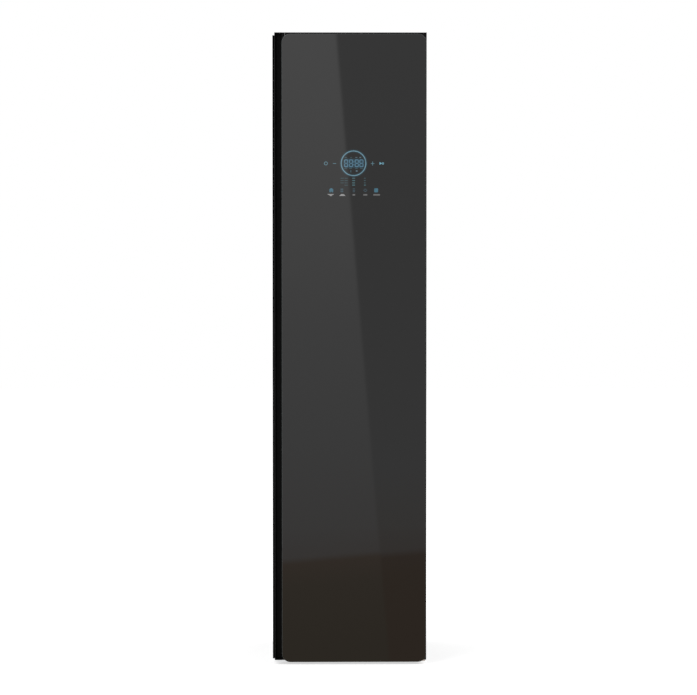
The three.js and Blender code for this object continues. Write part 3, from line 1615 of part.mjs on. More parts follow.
// Coil: thin fins between two end plates on a tube that passes to and fro
function coil(frontY) {
  const bottom = bayFloor + ductWall + seatGap;
  const top = bayTop - ductWall - coilHeadroom;
  const depth = [frontY, frontY + coilDepth];
  const pitch = (coilRight - coilLeft) / (coilFinCount - 1);
  const fins = spread(coilFinCount, pitch, (coilLeft + coilRight) / 2).map((x, index) => {
    const half = (index === 0 || index === coilFinCount - 1 ? coilEndPlate : coilFin) / 2;
    return block([x - half, x + half], depth, [bottom, top]);
  });
  const passPitch = (top - bottom) / coilPassCount;
  const levels = spread(coilPassCount, passPitch, (top + bottom) / 2);
  const middle = frontY + coilDepth / 2;
  const overhang = 2 * coilTube;
  const passes = levels.map((z) => (
    rod("x", [0, middle, z], coilTube, coilLeft - overhang, coilRight + overhang, pipeSides)
  ));
  const bends = levels.slice(1).map((z, index) => {
    const x = index % 2 ? coilLeft - overhang : coilRight + overhang;
    return rod("z", [x, middle, 0], coilTube, z - passPitch, z, pipeSides);
  });
  return join(...fins, ...passes, ...bends);
}

// Volute: its radius grows steadily from the tongue round to the outlet, which rises to the chamber floor
function voluteOutline(inset, top) {
  const sweep = THREE.MathUtils.degToRad(voluteTongueDegrees + 180);
  const start = THREE.MathUtils.degToRad(voluteTongueDegrees);
  const spiral = range(voluteSteps + 1).map((step) => {
    const share = step / voluteSteps;
    const radius = voluteStart + (voluteEnd - voluteStart) * share - inset;
    const turn = start - sweep * share;
    return [blowerY + radius * Math.cos(turn), blowerAxisHeight + radius * Math.sin(turn)];
  });
  return polygon([...spiral, [spiral[voluteSteps][0], top], [spiral[0][0], top]]);
}

function blowerHousing() {
  const span = [blowerLeft, blowerLeft + blowerWidth];
  const top = bayTop;
  const pedestal = block(
    span,
    [blowerY - voluteStart / 2, blowerY + voluteStart / 2],
    [bayFloor, blowerAxisHeight - voluteStart / 2],
  );
  const shell = join(prism("x", voluteOutline(0, top), ...span), pedestal);
  const hollow = prism(
    "x",
    voluteOutline(mouldWall, top + cutOverrun),
    span[0] + mouldWall,
    span[1] - mouldWall,
  );
  const hole = (radius, x, sides) => (
    rod("x", [0, blowerY, blowerAxisHeight], radius, x - cutOverrun, x + cutOverrun, sides)
  );
  const inlet = hole(inletRadius, span[0], wideSides);
  const shaft = hole(impellerShaft + runGap, span[1], smallSides);
  return cut(shell, hollow, inlet, shaft);
}

// Impeller: curved blades between a disc and a ring, leaning forward as they go outwards, on a hub and shaft
const impellerLeft = blowerLeft + (blowerWidth - impellerWidth) / 2;
const impellerRight = impellerLeft + impellerWidth;

function impellerBlade(index) {
  const lean = THREE.MathUtils.degToRad(impellerBladeDegrees);
  const turn = 2 * Math.PI * index / impellerBladeCount;
  const inner = impellerRadius - impellerBladeDepth;
  const edge = (offset) => range(impellerBladeSteps + 1).map((step) => {
    const share = step / impellerBladeSteps;
    const radius = inner + impellerBladeDepth * share;
    const angle = turn + lean * share * share + offset / impellerRadius;
    return [blowerY + radius * Math.cos(angle), blowerAxisHeight + radius * Math.sin(angle)];
  });
  const outline = polygon([...edge(0), ...edge(impellerBladeThickness).reverse()]);
  return prism("x", outline, impellerLeft + impellerRing / 2, impellerRight - impellerDisc / 2);
}

function fanImpeller() {
  const centre = [0, blowerY, blowerAxisHeight];
  const disc = rod("x", centre, impellerRadius, impellerRight - impellerDisc, impellerRight, wideSides);
  const collarInner = impellerRadius - impellerBladeDepth;
  const collarRight = impellerLeft + impellerRing;
  const collar = ring("x", centre, collarInner, impellerRadius, impellerLeft, collarRight, wideSides);
  const hubLeft = impellerRight - impellerWidth / 2;
  const hub = rod("x", centre, impellerHub, hubLeft, impellerRight - impellerDisc / 2, smallSides);
  const shaftEnd = blowerLeft + blowerWidth + impellerShaftLength;
  const shaft = rod("x", centre, impellerShaft, impellerRight - impellerDisc, shaftEnd, smallSides);
  const blades = range(impellerBladeCount).map(impellerBlade);
  return join(disc, collar, hub, shaft, ...blades);
}

// Blower motor: a can on three ears against the housing, bored for the shaft
function blowerMotor() {
  const from = blowerLeft + blowerWidth + seatGap;
  const centre = [0, blowerY, blowerAxisHeight];
  const shoulder = from + blowerMotorLength * blowerMotorCanShare;
  const can = turned("x", centre, [
    [0, from],
    [blowerMotorRadius, from],
    [blowerMotorRadius, shoulder],
    [blowerMotorRadius - blowerMotorEar / 2, shoulder + blowerMotorEar / 2],
    [blowerMotorRadius - blowerMotorEar / 2, from + blowerMotorLength],
    [0, from + blowerMotorLength],
  ]);
  const ears = range(3).map((index) => {
    const turn = THREE.MathUtils.degToRad(30 + 120 * index);
    const reach = blowerMotorRadius + blowerMotorEar / 2;
    const at = [0, blowerY + reach * Math.cos(turn), blowerAxisHeight + reach * Math.sin(turn)];
    return rod("x", at, blowerMotorEar, from, from + blowerMotorEarThickness, smallSides);
  });
  const boreEnd = blowerLeft + blowerWidth + impellerShaftLength + seatGap;
  const bore = rod("x", centre, impellerShaft + seatGap, from - cutOverrun, boreEnd, smallSides);
  return cut(join(can, ...ears), bore);
}

// Control box: a ribbed case on the right leg of the deck
function controlBox() {
  const right = deckLeg - deckPlate - seatGap;
  const left = right - controlThickness;
  const depth = [controlFrontY, controlFrontY + controlDepth];
  const box = block([left, right], depth, [controlBottom, controlBottom + controlHeight]);
  const pitch = controlHeight / controlRibCount;
  const ribs = spread(controlRibCount, pitch, controlBottom + controlHeight / 2).map((z) => block(
    [left - controlRibRise, left + controlRibRise],
    [depth[0] + controlRibWidth, depth[1] - controlRibWidth],
    [z - controlRibWidth / 2, z + controlRibWidth / 2],
  ));
  return join(box, ...ribs);
}

// Gland for the supply lead in the rear cover: a bored bush with a flange outside
function cordGland() {
  const back = bodyBack;
  const profile = [
    [glandBore, back - glandLength],
    [glandRadius, back - glandLength],
    [glandRadius, rearSkinBack + seatGap],
    [glandFlange, rearSkinBack + seatGap],
    [glandFlange, rearSkinBack + seatGap + glandFlangeThickness],
    [glandBore, back],
    [glandBore, back - glandLength],
  ];
  return turned("y", [glandX, 0, glandHeight], profile, smallSides);
}

add(cabinet, "steam_boiler", steamBoiler(), "aluminium");
add(cabinet, "steam_pipe", steamPipe(), "rubber");
add(cabinet, "water_pump", pump(waterPumpX), "darkMould");
add(cabinet, "drain_pump", pump(drainPumpX), "darkMould");
add(cabinet, "water_hose", waterHose(), "rubber");
add(cabinet, "compressor", compressor(), "enamel");
add(cabinet, "suction_pipe", suctionPipe(), "copper");
add(cabinet, "air_duct", airDuct(), "greyMould");
add(cabinet, "evaporator", coil(evaporatorY), "aluminium");
add(cabinet, "condenser", coil(condenserY), "aluminium");
add(cabinet, "blower_housing", blowerHousing(), "greyMould");
add(cabinet, "fan_impeller", fanImpeller(), "darkMould");
add(cabinet, "blower_motor", blowerMotor(), "zinc");
add(cabinet, "control_box", controlBox(), "darkMould");
add(cabinet, "cord_gland", cordGland(), "darkMould");

export default cabinet;
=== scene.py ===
# %% [markdown]
# # A clothes care steam cabinet
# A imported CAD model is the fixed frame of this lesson. It gives every piece its place and its motion, and
# we dress it: new surfaces where moulded or bent shapes need more than the CAD gives, a real finish on every
# part, a camera where the photographer stood, and plain soft light.

# %% Load the frame
import json
import math

import bmesh
import bpy
import numpy as np
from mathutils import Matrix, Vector


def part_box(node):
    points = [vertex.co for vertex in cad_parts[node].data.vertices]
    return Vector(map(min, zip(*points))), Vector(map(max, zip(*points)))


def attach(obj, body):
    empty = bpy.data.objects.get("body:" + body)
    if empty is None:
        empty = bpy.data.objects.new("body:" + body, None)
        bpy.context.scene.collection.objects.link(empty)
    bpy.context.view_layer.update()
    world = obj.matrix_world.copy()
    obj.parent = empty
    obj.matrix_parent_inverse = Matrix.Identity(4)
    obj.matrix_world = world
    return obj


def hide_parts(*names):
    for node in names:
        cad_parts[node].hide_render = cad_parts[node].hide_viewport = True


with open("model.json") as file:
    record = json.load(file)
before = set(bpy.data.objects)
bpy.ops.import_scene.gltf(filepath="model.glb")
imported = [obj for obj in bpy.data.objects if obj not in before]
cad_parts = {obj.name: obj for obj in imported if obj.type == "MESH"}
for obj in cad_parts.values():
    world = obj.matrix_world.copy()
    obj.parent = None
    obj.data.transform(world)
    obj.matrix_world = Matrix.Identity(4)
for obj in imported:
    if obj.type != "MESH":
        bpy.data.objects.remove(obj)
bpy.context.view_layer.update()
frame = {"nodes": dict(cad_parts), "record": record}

MM = 0.001

# %% [markdown]
# ## Tools for finishes
# A finish is a small network of shader nodes. One function adds any node with its settings and its links,
# one turns a colour from a paint chart's hex value into the linear light that a renderer counts in, one
# starts a material with its Principled shader, and one lets patterns vary its colour, its gloss and its
# relief. Patterns read Object coordinates, which are metres here, so the scale of a pattern is one over its
# real size in metres.

# %% Colours
def linear(hex_colour):
    """sRGB to linear light: c / 12.92 where dark, and ((c + 0.055) / 1.055) to the power 2.4 above that."""
    c = np.array([int(hex_colour[i:i + 2], 16) for i in (1, 3, 5)]) / 255
    light = np.where(c <= 0.04045, c / 12.92, ((c + 0.055) / 1.055) ** 2.4)
    return (*(float(v) for v in light), 1.0)


print("mid grey as light:", round(linear("#808080")[0], 3))


# %% One node with its links
def add_node(tree, kind, sockets=None, **settings):
    """Adds a shader node: settings are its own options, sockets take plain values or links."""
    node = tree.nodes.new("ShaderNode" + kind)
    for name, value in settings.items():
        setattr(node, name, value)
    for name, value in (sockets or {}).items():
        if isinstance(value, bpy.types.NodeSocket):
            tree.links.new(value, node.inputs[name])
        else:
            node.inputs[name].default_value = value
    return node


# %% Start a finish
def new_finish(name, **sockets):
    """A material with one Principled shader; also returns its tree, the shader and Object coordinates."""
    material = bpy.data.materials.new(name)
    material.use_nodes = True
    tree = material.node_tree
    tree.nodes.clear()
    values = {key.replace("_", " "): value for key, value in sockets.items()}
    shader = add_node(tree, "BsdfPrincipled", values)
    add_node(tree, "OutputMaterial", {"Surface": shader.outputs["BSDF"]})
    return material, tree, shader, add_node(tree, "TexCoord").outputs["Object"]


# %% Let patterns vary it
def vary(tree, shader, colour=None, relief_mm=None, **spreads):
    """Patterns from 0 to 1 mix two close colours, move a socket from low to high, and raise the surface."""
    if colour:
        pattern, dark, light = colour
        mixed = add_node(tree, "Mix", {
            "Factor": pattern, "A": linear(dark), "B": linear(light)}, data_type="RGBA")
        tree.links.new(mixed.outputs["Result"], shader.inputs["Base Color"])
    for name, (pattern, low, high) in spreads.items():
        spread = add_node(tree, "MapRange", {"Value": pattern, "To Min": low, "To Max": high})
        tree.links.new(spread.outputs["Result"], shader.inputs[name.replace("_", " ")])
    if relief_mm:
        pattern, height = relief_mm
        bump = add_node(tree, "Bump", {"Height": pattern, "Distance": height * MM, "Strength": 1.0})
        tree.links.new(bump.outputs["Normal"], shader.inputs["Normal"])


def per_mm(size_mm):
    """The scale of a pattern whose feature is size_mm long."""
    return 1 / (size_mm * MM)


# %% [markdown]
# ## Camera
# The photograph is almost square on to the door, taken with a long lens from a little left and a little
# above: the door's edges lean by less than a pixel, and the steps where the door stands proud of the
# cabinet, at the top left and at the foot, show the height. Those edges, read against the known size of the
# door, give the angle, the distance and the lens.

# %% Camera where the photographer stood
PHOTO_WIDTH = 697
CAMERA_DISTANCE = 12.0
CAMERA_TURN = math.radians(-1.079)
CAMERA_RISE = math.radians(2.647)
FOCAL_PIXELS = 4003.8
CAMERA_AIM = Vector((0.0023, 0.0, 0.9174))
towards_camera = Vector((
    math.sin(CAMERA_TURN) * math.cos(CAMERA_RISE),
    -math.cos(CAMERA_TURN) * math.cos(CAMERA_RISE),
    math.sin(CAMERA_RISE),
))
camera_data = bpy.data.cameras.new("photo_camera")
camera_data.sensor_fit = "HORIZONTAL"
camera_data.sensor_width = 36.0
camera_data.lens = FOCAL_PIXELS * camera_data.sensor_width / PHOTO_WIDTH
camera_data.clip_end = 60.0
camera = bpy.data.objects.new("photo_camera", camera_data)
bpy.context.scene.collection.objects.link(camera)
camera.location = CAMERA_AIM + towards_camera * CAMERA_DISTANCE
camera.rotation_euler = (-towards_camera).to_track_quat("-Z", "Y").to_euler()
bpy.context.scene.camera = camera
bpy.context.scene.view_settings.view_transform = "Standard"
print("camera at", [round(v, 3) for v in camera.location], "lens", round(camera_data.lens, 1))

# %% [markdown]
# ## Floor and light
# The studio is white. The floor keeps the cabinet's soft shadow, and everything further off is pure white,
# for the camera and for gloss alike. The world gives a little more than half of the light, and two big soft
# lamps the rest, so a colour renders about as it is written.

# %% World
WORLD_FILL = 0.6
world = bpy.data.worlds.new("white_studio")
bpy.context.scene.world = world
world.use_nodes = True
sky = world.node_tree
sky.nodes.clear()


def seen_directly(tree):
    """1 for camera, glossy and transmission rays, which should all find the same white; 0 for the others."""
    path = add_node(tree, "LightPath").outputs
    sharp = add_node(tree, "Math", {0: path["Is Camera Ray"], 1: path["Is Glossy Ray"]}, operation="MAXIMUM")
    return add_node(
        tree, "Math", {0: sharp.outputs[0], 1: path["Is Transmission Ray"]}, operation="MAXIMUM"
    ).outputs[0]


fill = add_node(sky, "Background", {"Color": linear("#ffffff"), "Strength": WORLD_FILL})
plain = add_node(sky, "Background", {"Color": linear("#ffffff"), "Strength": 1.0})
either = add_node(sky, "MixShader", {0: seen_directly(sky), 1: fill.outputs[0], 2: plain.outputs[0]})
add_node(sky, "OutputWorld", {"Surface": either.outputs[0]})
print("world fill", WORLD_FILL)

# %% Floor
FLOOR_HALF = 14.0
NEAR_SPAN, FAR_SPAN = 1.2, 6.0
NEAR_LIFT, FAR_LIFT = 0.60, 0.70


def stage_object(name, vertices, material):
    """A flat four-cornered stage piece."""
    mesh = bpy.data.meshes.new(name)
    mesh.from_pydata(vertices, [], [(0, 1, 2, 3)])
    mesh.materials.append(material)
    piece = bpy.data.objects.new(name, mesh)
    bpy.context.scene.collection.objects.link(piece)
    return piece


floor_paint = bpy.data.materials.new("white_floor_paint")
floor_paint.use_nodes = True
floor_tree = floor_paint.node_tree
floor_tree.nodes.clear()
matt = add_node(floor_tree, "BsdfDiffuse", {"Color": linear("#cfcfcf")})
floor_place = add_node(floor_tree, "TexCoord").outputs["Object"]
span = add_node(floor_tree, "VectorMath", {0: floor_place}, operation="LENGTH")
rise = add_node(floor_tree, "MapRange", {
    "Value": span.outputs["Value"], "From Min": NEAR_SPAN, "From Max": FAR_SPAN,
    "To Min": NEAR_LIFT, "To Max": FAR_LIFT,
}, interpolation_type="SMOOTHSTEP")
lift = add_node(floor_tree, "Math", {0: seen_directly(floor_tree), 1: rise.outputs[0]}, operation="MULTIPLY")
glow = add_node(floor_tree, "Emission", {"Color": linear("#ffffff"), "Strength": lift.outputs[0]})
both = add_node(floor_tree, "AddShader", {0: matt.outputs[0], 1: glow.outputs[0]})
add_node(floor_tree, "OutputMaterial", {"Surface": both.outputs[0]})
stage_object("studio_floor", [
    (-FLOOR_HALF, -FLOOR_HALF, 0), (FLOOR_HALF, -FLOOR_HALF, 0),
    (FLOOR_HALF, FLOOR_HALF, 0), (-FLOOR_HALF, FLOOR_HALF, 0),
], floor_paint)
print("floor lift", NEAR_LIFT, "near the cabinet and", FAR_LIFT, "far off")

# %% Two soft lamps
LAMP_SIZE = 4.4
LAMP_TARGET = Vector((0, 0, 0.9))
KEY_PLACE, KEY_POWER = (-3.4, -3.6, 3.6), 190
RIM_PLACE, RIM_POWER = (3.6, 2.2, 3.4), 110


def soft_lamp(name, place, power):
    """A square area lamp at place, turned to face the middle of the cabinet."""
    lamp_data = bpy.data.lights.new(name, "AREA")
    lamp_data.shape = "SQUARE"
    lamp_data.size = LAMP_SIZE
    lamp_data.energy = power
    lamp = bpy.data.objects.new(name, lamp_data)
    bpy.context.scene.collection.objects.link(lamp)
    lamp.location = place
    lamp.rotation_euler = (LAMP_TARGET - Vector(place)).to_track_quat("-Z", "Y").to_euler()
    print(name, power, "W")


soft_lamp("key_lamp", KEY_PLACE, KEY_POWER)
soft_lamp("rim_lamp", RIM_PLACE, RIM_POWER)

# %% [markdown]
# ## What the glass mirrors
# Black glass shows little but its reflections, and in the photograph the door mirrors a room: a paler left
# half with a slanting edge, and a brown floor at its foot. Two stage cards make that room, and only glossy
# rays can see them, so they light nothing. A point of the door and the card's point that it mirrors lie on
# one line through the camera's mirror image, which is how edges measured on the door, in metres, are
# carried out to the cards.

# %% From a point of the door to what it mirrors
GLASS_FRONT = -0.2924
WALL_FOOT = 0.395
mirrored_camera = Vector((camera.location.x, 2 * GLASS_FRONT - camera.location.y, camera.location.z))


def mirrored(x, z, wall_y=None):
    """Carries a door point along the ray from the mirrored camera, to the plane y = wall_y or z = 0."""
    ray = Vector((x, GLASS_FRONT, z)) - mirrored_camera
    reach = (wall_y - mirrored_camera.y) / ray.y if wall_y is not None else -mirrored_camera.z / ray.z
    return mirrored_camera + ray * reach


CARD_Y = mirrored(0.0, WALL_FOOT).y
print("the mirrored wall stands at y =", round(CARD_Y, 2))


# %% A card with two ramps of tones
EDGE_BLUR = 0.008


def tone_ramp(tree, run, tones):
    """A glow that follows run through a list of (spot, tone), in straight lines from one to the next."""
    spots = [spot for spot, _ in tones]
    share = add_node(tree, "MapRange", {"Value": run, "From Min": spots[0], "From Max": spots[-1]})
    ramp = add_node(tree, "ValToRGB", {"Fac": share.outputs[0]})
    scale = max(max(tone) for _, tone in tones)
    while len(ramp.color_ramp.elements) < len(tones):
        ramp.color_ramp.elements.new(0.5)
    for element, (spot, tone) in zip(ramp.color_ramp.elements, tones):
        element.position = (spot - spots[0]) / (spots[-1] - spots[0])
        element.color = (*(v / scale for v in tone), 1)
    return add_node(tree, "Emission", {"Color": ramp.outputs[0], "Strength": scale}).outputs[0]


def card(name, corners, low, high, left_tones, right_tones, along, skew=0.0):
    """A glossy-only card: two ramps of tones along one axis less skew times x, split by the line low-high."""
    material = bpy.data.materials.new(name)
    material.use_nodes = True
    tree = material.node_tree
    tree.nodes.clear()
    parts = add_node(tree, "SeparateXYZ", {0: add_node(tree, "TexCoord").outputs["Object"]}).outputs
    lean = (high.x - low.x) / (high[along] - low[along])
    line = add_node(tree, "Math", {
        0: parts[along], 1: lean, 2: low.x - lean * low[along]}, operation="MULTIPLY_ADD")
    side = add_node(tree, "Math", {0: parts["X"], 1: line.outputs[0]}, operation="SUBTRACT")
    split = add_node(tree, "MapRange", {
        "Value": side.outputs[0], "From Min": -EDGE_BLUR, "From Max": EDGE_BLUR,
    }, interpolation_type="SMOOTHSTEP")
    run = add_node(tree, "Math", {0: parts["X"], 1: -skew, 2: parts[along]}, operation="MULTIPLY_ADD")
    ramps = [tone_ramp(tree, run.outputs[0], tones) for tones in (left_tones, right_tones)]
    mixed = add_node(tree, "MixShader", {0: split.outputs[0], 1: ramps[0], 2: ramps[1]})
    add_node(tree, "OutputMaterial", {"Surface": mixed.outputs[0]})
    piece = stage_object(name, corners, material)
    for ray in ("camera", "diffuse", "transmission", "volume_scatter", "shadow"):
        setattr(piece, "visible_" + ray, False)


# %% The mirrored wall
ALONG_Y, ALONG_Z = 1, 2
CARD_LEFT, CARD_RIGHT, WALL_TOP = -0.24, 0.43, 2.05
WALL_CARD_FOOT = 0.001
PALE_FOOT, DARK_FOOT = (1.03, 1.0, 0.98), (0.9, 0.86, 0.82)
edge_high = mirrored(-0.038, 1.834, CARD_Y)
edge_low = mirrored(0.081, 0.42, CARD_Y)


def grey(level):
    """A neutral tone."""
    return (level, level, level)


def wall_tones(*steps):
    """Tones given at heights on the door, carried out to the wall card."""
    return [(mirrored(0, height, CARD_Y).z, tone) for height, tone in steps]


card(
    "mirrored_wall",
    [(CARD_LEFT, CARD_Y, WALL_CARD_FOOT), (CARD_RIGHT, CARD_Y, WALL_CARD_FOOT),
     (CARD_RIGHT, CARD_Y, WALL_TOP), (CARD_LEFT, CARD_Y, WALL_TOP)],
    edge_low, edge_high,
    wall_tones((WALL_FOOT, PALE_FOOT), (0.67, grey(1.13)), (0.987, grey(1.245)),
               (1.249, grey(1.41)), (1.615, grey(1.57)), (1.859, grey(1.66))),
    wall_tones((WALL_FOOT, DARK_FOOT), (0.578, grey(0.92)), (1.249, grey(0.92)), (1.859, grey(0.99))),
    ALONG_Z,
)
print("mirrored edge from", [round(v, 2) for v in edge_high], "to", [round(v, 2) for v in edge_low])

# %% The mirrored floor
FLOOR_CARD_HEIGHT = 0.002
FLOOR_CARD_NEAR = -0.26
FLOOR_EDGE_X = -0.194
floor_left = mirrored(FLOOR_EDGE_X, 0.295)
floor_right = mirrored(0.2198, 0.333)
floor_skew = (floor_right.y - floor_left.y) / (floor_right.x - floor_left.x)
shade_low, shade_high = mirrored(0.106, 0.134), mirrored(0.084, 0.39)


def floor_tones(*steps):
    """Tones given at heights on the door over the floor edge's left end, carried out to the floor card."""
    spots = [mirrored(FLOOR_EDGE_X, height) for height, _ in steps]
    return [(spot.y - floor_skew * spot.x, tone) for spot, (_, tone) in zip(spots, steps)]


card(
    "mirrored_floor",
    [(CARD_LEFT, FLOOR_CARD_NEAR, FLOOR_CARD_HEIGHT), (CARD_LEFT, CARD_Y, FLOOR_CARD_HEIGHT),
     (CARD_RIGHT, CARD_Y, FLOOR_CARD_HEIGHT), (CARD_RIGHT, FLOOR_CARD_NEAR, FLOOR_CARD_HEIGHT)],
    shade_low, shade_high,
    floor_tones((WALL_FOOT, PALE_FOOT), (0.309, (0.97, 0.9, 0.86)), (0.291, (0.8, 0.64, 0.52)),
                (0.2205, (0.7, 0.59, 0.47)), (0.023, (0.64, 0.54, 0.42))),
    floor_tones((WALL_FOOT, DARK_FOOT), (0.304, (0.85, 0.77, 0.72)), (0.284, (0.68, 0.53, 0.43)),
                (0.2205, (0.655, 0.51, 0.4)), (0.023, (0.64, 0.49, 0.38))),
    ALONG_Y, floor_skew,
)
print("floor's edge from", [round(v, 2) for v in floor_left], "to", [round(v, 2) for v in floor_right])

# %% [markdown]
# ## Surfaces from numbers
# Every new piece is a grid of points worked out at once with numpy: rows run along one parameter, columns
# along the other. One function turns such a grid into a mesh, closing it round its columns, its rows, or
# with flat caps at its two ends.

# %% Points and faces to a piece
def mesh_object(name, points, faces, body, material, smooth, sharp_degrees):
    """A mesh from points and faces, with its normals made to face outwards, riding on a body."""
    mesh = bpy.data.meshes.new(name)
    mesh.from_pydata(points.tolist(), [], faces)
    mesh.validate()
    work = bmesh.new()
    work.from_mesh(mesh)
    bmesh.ops.recalc_face_normals(work, faces=work.faces)
    work.to_mesh(mesh)
    work.free()
    if smooth:
        mesh.shade_smooth()
        mesh.set_sharp_from_angle(angle=math.radians(sharp_degrees))
    mesh.materials.append(material)
    piece = bpy.data.objects.new(name, mesh)
    bpy.context.scene.collection.objects.link(piece)
    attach(piece, body)
    print(name, "has", len(mesh.polygons), "faces")
    return piece


# %% Grid to faces
def grid_object(name, grids, body, material, wrap_rows=False, smooth=True, sharp_degrees=35):
    """Rows by columns by xyz points become quads; columns close on themselves, rows wrap or end in caps."""
    grids = grids if isinstance(grids, list) else [grids]
    faces, start = [], 0
    for grid in grids:
        rows, columns, _ = grid.shape
        index = np.arange(rows * columns).reshape(rows, columns) + start
        start += rows * columns
        below = index if wrap_rows else index[:-1]
        above = np.roll(index, -1, axis=0) if wrap_rows else index[1:]
        quads = np.stack([below, np.roll(below, -1, axis=1), np.roll(above, -1, axis=1), above], axis=-1)
        faces += quads.reshape(-1, 4).tolist()
        if not wrap_rows:
            faces += [index[0][::-1].tolist(), index[-1].tolist()]
    points = np.concatenate([grid.reshape(-1, 3) for grid in grids])
    return mesh_object(name, points, faces, body, material, smooth, sharp_degrees)


# %% Rounded outline
def rounded_outline(width, height, radius, steps=8):
    """Points of a rectangle with quarter-circle corners, centred on zero, anticlockwise, steps per corner."""
    turn = np.linspace(0, np.pi / 2, steps)
    arc = np.stack([np.cos(turn), np.sin(turn)], axis=-1) * radius
    corners = []
    for quarter, (sx, sy) in enumerate(((1, 1), (-1, 1), (-1, -1), (1, -1))):
        c, s = math.cos(quarter * math.pi / 2), math.sin(quarter * math.pi / 2)
        turned = arc @ np.array([[c, s], [-s, c]])
        corners.append(turned + np.array([sx * (width / 2 - radius), sy * (height / 2 - radius)]))
    return np.concatenate(corners)


# %% [markdown]
# ## Finishes
# One material for each real material of the cabinet. The comment before each says how its surface was made
# and what that gives the eye.

# %% Black glass
# Toughened float glass, painted black on its back: mirror smooth, with the faintest wave of the rollers.
black_glass, tree, shader, place = new_finish(
    "black_back_painted_glass", Base_Color=linear("#000000"), Roughness=0.02, IOR=1.48)
wave = add_node(tree, "TexNoise", {"Vector": place, "Scale": per_mm(260), "Detail": 1.0}).outputs["Fac"]
vary(tree, shader, relief_mm=(wave, 0.02))

# Its ground edge is a matt seam about a millimetre wide, paler than the face.
ground_edge, tree, shader, place = new_finish("ground_glass_edge", Roughness=0.45, IOR=1.5)
grit = add_node(tree, "TexNoise", {"Vector": place, "Scale": per_mm(1.5), "Detail": 4.0}).outputs["Fac"]
vary(tree, shader, colour=(grit, "#3c4141", "#525757"))

# %% Black moulded plastic
# ABS moulded in a spark-eroded tool: a deep matt black grain, half a millimetre apart, drawn at 1.2 mm.
black_mould, tree, shader, place = new_finish(
    "black_abs_fine_grain", Roughness=0.5, IOR=1.5, Specular_IOR_Level=0.07)
grain = add_node(tree, "TexNoise", {"Vector": place, "Scale": per_mm(1.2), "Detail": 3.0}).outputs["Fac"]
vary(tree, shader, colour=(grain, "#060606", "#0b0b0b"), Roughness=(grain, 0.42, 0.58),
     relief_mm=(grain, 0.06))

# %% Black powder coat
# Polyester powder baked on steel: satin, with an orange peel some 3 mm across and fine specks in its gloss.
# On the front flanges the colour is darkened and the sheen nearly taken away: this is painted shade, standing
# in for the shade in the gap round the door, so that the gap stays dark.
FLANGE_FACE, PAINTED_SHADE_DEPTH = -0.242, 0.4 * MM
black_paint, tree, shader, place = new_finish("black_satin_powder_coat", Roughness=0.4, IOR=1.5)
peel = add_node(tree, "TexNoise", {"Vector": place, "Scale": per_mm(3.6), "Detail": 2.0}).outputs["Fac"]
speck = add_node(tree, "TexNoise", {"Vector": place, "Scale": per_mm(90), "Detail": 5.0}).outputs["Fac"]
# Painted shade: a mask by depth picks out the front faces of the flanges, which take the darkest tone and
# almost no sheen.
depth = add_node(tree, "SeparateXYZ", {0: place}).outputs["Y"]
clear_of_painted_shade = add_node(tree, "Math", {
    0: depth, 1: FLANGE_FACE + PAINTED_SHADE_DEPTH}, operation="GREATER_THAN").outputs[0]
specks_and_painted_shade = add_node(tree, "Math", {0: speck, 1: clear_of_painted_shade}, operation="MULTIPLY").outputs[0]
vary(tree, shader, colour=(specks_and_painted_shade, "#050506", "#101013"), Specular_IOR_Level=(clear_of_painted_shade, 0.02, 0.18),
     Roughness=(speck, 0.38, 0.46), relief_mm=(peel, 0.12))

# %% Galvanised sheet
# Hot-dipped zinc freezes in flat crystals, 8 to 14 mm across, that differ a little in grey and in gloss.
zinc_sheet, tree, shader, place = new_finish("hot_dip_galvanised_steel", Metallic=1.0)
bend = add_node(tree, "TexNoise", {"Vector": place, "Scale": per_mm(20), "Detail": 2.0}).outputs["Color"]
warped = add_node(tree, "MixRGB", {"Fac": 0.012, "Color1": place, "Color2": bend}).outputs[0]
flower = add_node(tree, "TexVoronoi", {"Vector": warped, "Scale": per_mm(11)}).outputs["Color"]
tone = add_node(tree, "SeparateXYZ", {0: flower}).outputs["X"]
vary(tree, shader, colour=(tone, "#969b9e", "#aeb2b4"), Roughness=(tone, 0.34, 0.5), relief_mm=(tone, 0.02))

# %% White and grey moulded plastics
# High-impact polystyrene, drawn and moulded: the liner is satin white with a soft unevenness from cooling.
white_liner, tree, shader, place = new_finish("white_polystyrene_satin", IOR=1.55, Roughness=0.3)
cooling = add_node(tree, "TexNoise", {"Vector": place, "Scale": per_mm(140), "Detail": 4.0}).outputs["Fac"]
satin = add_node(tree, "TexNoise", {"Vector": place, "Scale": per_mm(2.2), "Detail": 2.0}).outputs["Fac"]
vary(tree, shader, colour=(cooling, "#c9cccd", "#d6d8d8"), Roughness=(cooling, 0.26, 0.38),
     relief_mm=(satin, 0.03))

# Polypropylene for the machine's mouldings: mid grey, matt, with a leather-fine grain drawn at 1.5 mm.
grey_mould, tree, shader, place = new_finish("grey_polypropylene_grain", IOR=1.49, Roughness=0.45)
grain = add_node(tree, "TexVoronoi", {
    "Vector": place, "Scale": per_mm(1.5)}, feature="SMOOTH_F1").outputs["Distance"]
cloud = add_node(tree, "TexNoise", {"Vector": place, "Scale": per_mm(70), "Detail": 4.0}).outputs["Fac"]
vary(tree, shader, colour=(cloud, "#7c8185", "#898d91"), Roughness=(cloud, 0.4, 0.52),
     relief_mm=(grain, 0.06))

# Styrene acrylonitrile for tanks and the lamp's lens: clear with a smoky blue, glossy, with flow lines.
clear_mould, tree, shader, place = new_finish(
    "clear_san_smoke_blue", IOR=1.57, Roughness=0.08, Transmission_Weight=0.75)
flow = add_node(tree, "TexNoise", {
    "Vector": place, "Scale": per_mm(45), "Detail": 3.0, "Distortion": 0.8}).outputs["Fac"]
vary(tree, shader, colour=(flow, "#8fa9b9", "#a3bac7"), Roughness=(flow, 0.05, 0.14), relief_mm=(flow, 0.05))

